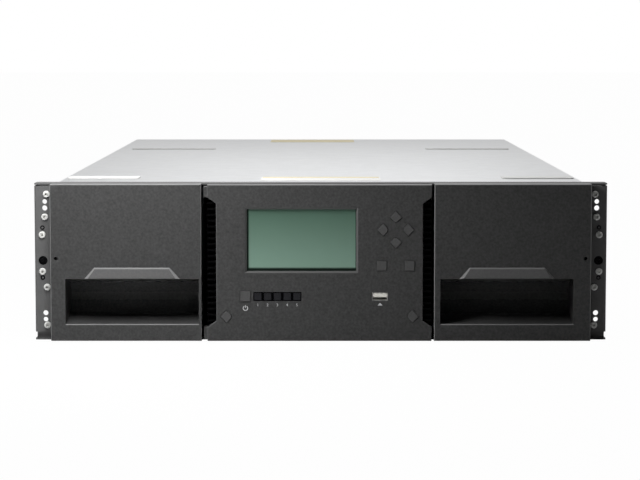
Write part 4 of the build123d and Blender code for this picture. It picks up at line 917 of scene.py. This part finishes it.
class TAPELIB_OT_stage(PieceOperator, bpy.types.Operator):
    """Set up the floor, the soft light and the camera"""
    bl_idname = "tapelib.stage"
    bl_label = "Stage"

    def execute(self, context):
        settings = context.scene.tapelib_stage
        self.floor(settings)
        self.world(settings)
        self.lamp("key_softbox", settings.key, **KEY_BOX)
        self.lamp("top_softbox", settings.top, **TOP_BOX)
        self.lamp("cover_softbox", settings.cover, **COVER_BOX)
        self.camera(settings)
        context.scene.view_settings.view_transform = "Standard"
        return {"FINISHED"}

    @staticmethod
    def rays(tree):
        """Two outputs: 1 for camera rays, and 1 for rays that a surface mirrored or let through."""
        path = add_node(tree, "ShaderNodeLightPath")
        mirrored = add_node(tree, "ShaderNodeMath", {0: path.outputs["Is Glossy Ray"],
                                                     1: path.outputs["Is Transmission Ray"]},
                            operation="MAXIMUM")
        return path.outputs["Is Camera Ray"], mirrored.outputs["Value"]

    @staticmethod
    def backdrop(tree, camera, mirrored, place, front, rear, room, share=0.0):
        """Strength of the white backdrop: 1 for camera rays. For mirrored rays it falls from 1 at the rear
        to the dark room at the front, and for the rest to a share of that."""
        behind = add_node(tree, "ShaderNodeMapRange", {"Value": place, "From Min": front, "From Max": rear,
                                                       "To Min": room}, interpolation_type="SMOOTHSTEP")
        level = add_node(tree, "ShaderNodeMapRange", {"Value": mirrored, "To Min": share})
        dim = add_node(tree, "ShaderNodeMath", {0: level.outputs["Result"], 1: behind.outputs["Result"]},
                       operation="MULTIPLY")
        both = add_node(tree, "ShaderNodeMath", {0: camera, 1: dim.outputs["Value"]}, operation="MAXIMUM")
        return both.outputs["Value"]

    def floor(self, settings):
        """Flat matte white floor. It glows white where it is seen and keeps the shadow in the rest."""
        reach, below, fade = 15, 0.5 * MM, 0.4
        material, tree, place = start_material("matte_floor")
        part = add_node(tree, "ShaderNodeSeparateXYZ", {"Vector": place})
        camera, mirrored = self.rays(tree)
        white = self.backdrop(tree, camera, mirrored, part.outputs["Y"], face_plane, face_plane + fade,
                              settings.room)
        steady = add_node(tree, "ShaderNodeMath", {0: camera, 1: settings.floor}, operation="MULTIPLY")
        seen = add_node(tree, "ShaderNodeMath", {0: steady.outputs["Value"], 1: mirrored},
                        operation="MAXIMUM")
        matte = add_node(tree, "ShaderNodeBsdfDiffuse", {"Color": shade(linear("#F1F1F1"))})
        glow = add_node(tree, "ShaderNodeEmission", {"Color": shade(linear("#FFFFFF")), "Strength": white})
        mix = add_node(tree, "ShaderNodeMixShader", {0: seen.outputs["Value"], 1: matte.outputs["BSDF"],
                                                     2: glow.outputs["Emission"]})
        finish_material(material, tree, mix)
        corners = [(-reach, -reach), (reach, -reach), (reach, reach), (-reach, reach)]
        mesh = bpy.data.meshes.new("floor")
        mesh.from_pydata([(x, y, cad_low.z - below) for x, y in corners], [], [(0, 1, 2, 3)])
        mesh.materials.append(material)
        ground = bpy.data.objects.new("floor", mesh)
        bpy.context.scene.collection.objects.link(ground)

    def world(self, settings):
        """White backdrop, which lights the sides and the rear. The room in front and above is dark: the
        direction's Y, less a share that grows with its Z, goes from the dark to the white."""
        overhead_from, overhead_to, overhead_share = 0.1, 0.7, 0.6
        dark_side, white_side = -0.15, 0.2
        world = bpy.data.worlds.new("studio")
        bpy.context.scene.world = world
        world.use_nodes = True
        tree = world.node_tree
        tree.nodes.clear()
        direction = add_node(tree, "ShaderNodeTexCoord").outputs["Generated"]
        part = add_node(tree, "ShaderNodeSeparateXYZ", {"Vector": direction})
        above = add_node(tree, "ShaderNodeMapRange", {"Value": part.outputs["Z"], "From Min": overhead_from,
                                                      "From Max": overhead_to, "To Max": overhead_share})
        side = add_node(tree, "ShaderNodeMath", {0: part.outputs["Y"], 1: above.outputs["Result"]},
                        operation="SUBTRACT")
        camera, mirrored = self.rays(tree)
        strength = self.backdrop(tree, camera, mirrored, side.outputs["Value"], dark_side, white_side,
                                 settings.room, settings.ambient)
        sky = add_node(tree, "ShaderNodeBackground", {"Color": shade(linear("#FFFFFF")),
                                                      "Strength": strength})
        add_node(tree, "ShaderNodeOutputWorld", {"Surface": sky.outputs["Background"]})

    @staticmethod
    def lamp(name, power, place, target, size, mirrored=True):
        """Rectangular softbox at a place, aimed at a target, that glossy surfaces mirror or not."""
        light = bpy.data.lights.new(name, "AREA")
        light.shape = "RECTANGLE"
        light.size, light.size_y = size
        light.energy = power
        lamp = bpy.data.objects.new(name, light)
        aim = Vector(target) - Vector(place)
        stand = Matrix.Translation(Vector(place) + Vector((0, face_plane, 0)))
        lamp.matrix_world = stand @ aim.to_track_quat("-Z", "Y").to_matrix().to_4x4()
        lamp.visible_camera = False
        lamp.visible_glossy = mirrored
        bpy.context.scene.collection.objects.link(lamp)

    @staticmethod
    def camera(settings):
        """Camera in front of the ears, tilted down."""
        sensor, far = 36, 50
        camera = bpy.data.cameras.new("camera")
        camera.lens = settings.lens
        camera.sensor_width = sensor
        camera.clip_end = far
        view = bpy.data.objects.new("camera", camera)
        view.location = (settings.across, ear_plane - settings.distance, settings.height)
        view.rotation_euler = (pi / 2 - settings.pitch, 0, 0)
        bpy.context.scene.collection.objects.link(view)
        bpy.context.scene.camera = view


class TAPELIB_PT_panel(bpy.types.Panel):
    """Sidebar panel with the pieces and their settings"""
    bl_idname = "TAPELIB_PT_panel"
    bl_label = "Tape library"
    bl_space_type = "VIEW_3D"
    bl_region_type = "UI"
    bl_category = "Tape library"

    def draw(self, context):
        for operator in OPERATORS:
            self.layout.operator(operator.bl_idname)
        scene = context.scene
        for group in (scene.tapelib_colours, scene.tapelib_sizes, scene.tapelib_stage):
            box = self.layout.box()
            for key in group.__annotations__:
                box.prop(group, key)


GROUPS = (TAPELIB_PG_colours, TAPELIB_PG_sizes, TAPELIB_PG_stage)
OPERATORS = (TAPELIB_OT_finishes, TAPELIB_OT_ear_screws, TAPELIB_OT_captive_drives, TAPELIB_OT_eyelets,
             TAPELIB_OT_labels, TAPELIB_OT_panel_marks, TAPELIB_OT_socket_insulator, TAPELIB_OT_lift_thread,
             TAPELIB_OT_fan_guards, TAPELIB_OT_thumb_screws, TAPELIB_OT_body_screws, TAPELIB_OT_stage)
CLASSES = (*GROUPS, *OPERATORS, TAPELIB_PT_panel)


def register():
    """Register the classes and give the scene its three groups of settings."""
    for cls in CLASSES:
        bpy.utils.register_class(cls)
    bpy.types.Scene.tapelib_colours = PointerProperty(type=TAPELIB_PG_colours)
    bpy.types.Scene.tapelib_sizes = PointerProperty(type=TAPELIB_PG_sizes)
    bpy.types.Scene.tapelib_stage = PointerProperty(type=TAPELIB_PG_stage)


def unregister():
    """Take the settings and the classes away again."""
    del bpy.types.Scene.tapelib_stage
    del bpy.types.Scene.tapelib_sizes
    del bpy.types.Scene.tapelib_colours
    for cls in reversed(CLASSES):
        bpy.utils.unregister_class(cls)


def main():
    """Register the add-on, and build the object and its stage."""
    register()
    bpy.ops.tapelib.finishes()
    bpy.ops.tapelib.ear_screws()
    bpy.ops.tapelib.captive_drives()
    bpy.ops.tapelib.eyelets()
    bpy.ops.tapelib.labels()
    bpy.ops.tapelib.panel_marks()
    bpy.ops.tapelib.socket_insulator()
    bpy.ops.tapelib.lift_thread()
    bpy.ops.tapelib.fan_guards()
    bpy.ops.tapelib.thumb_screws()
    bpy.ops.tapelib.body_screws()
    bpy.ops.tapelib.stage()


if __name__ == "__main__":
    main()
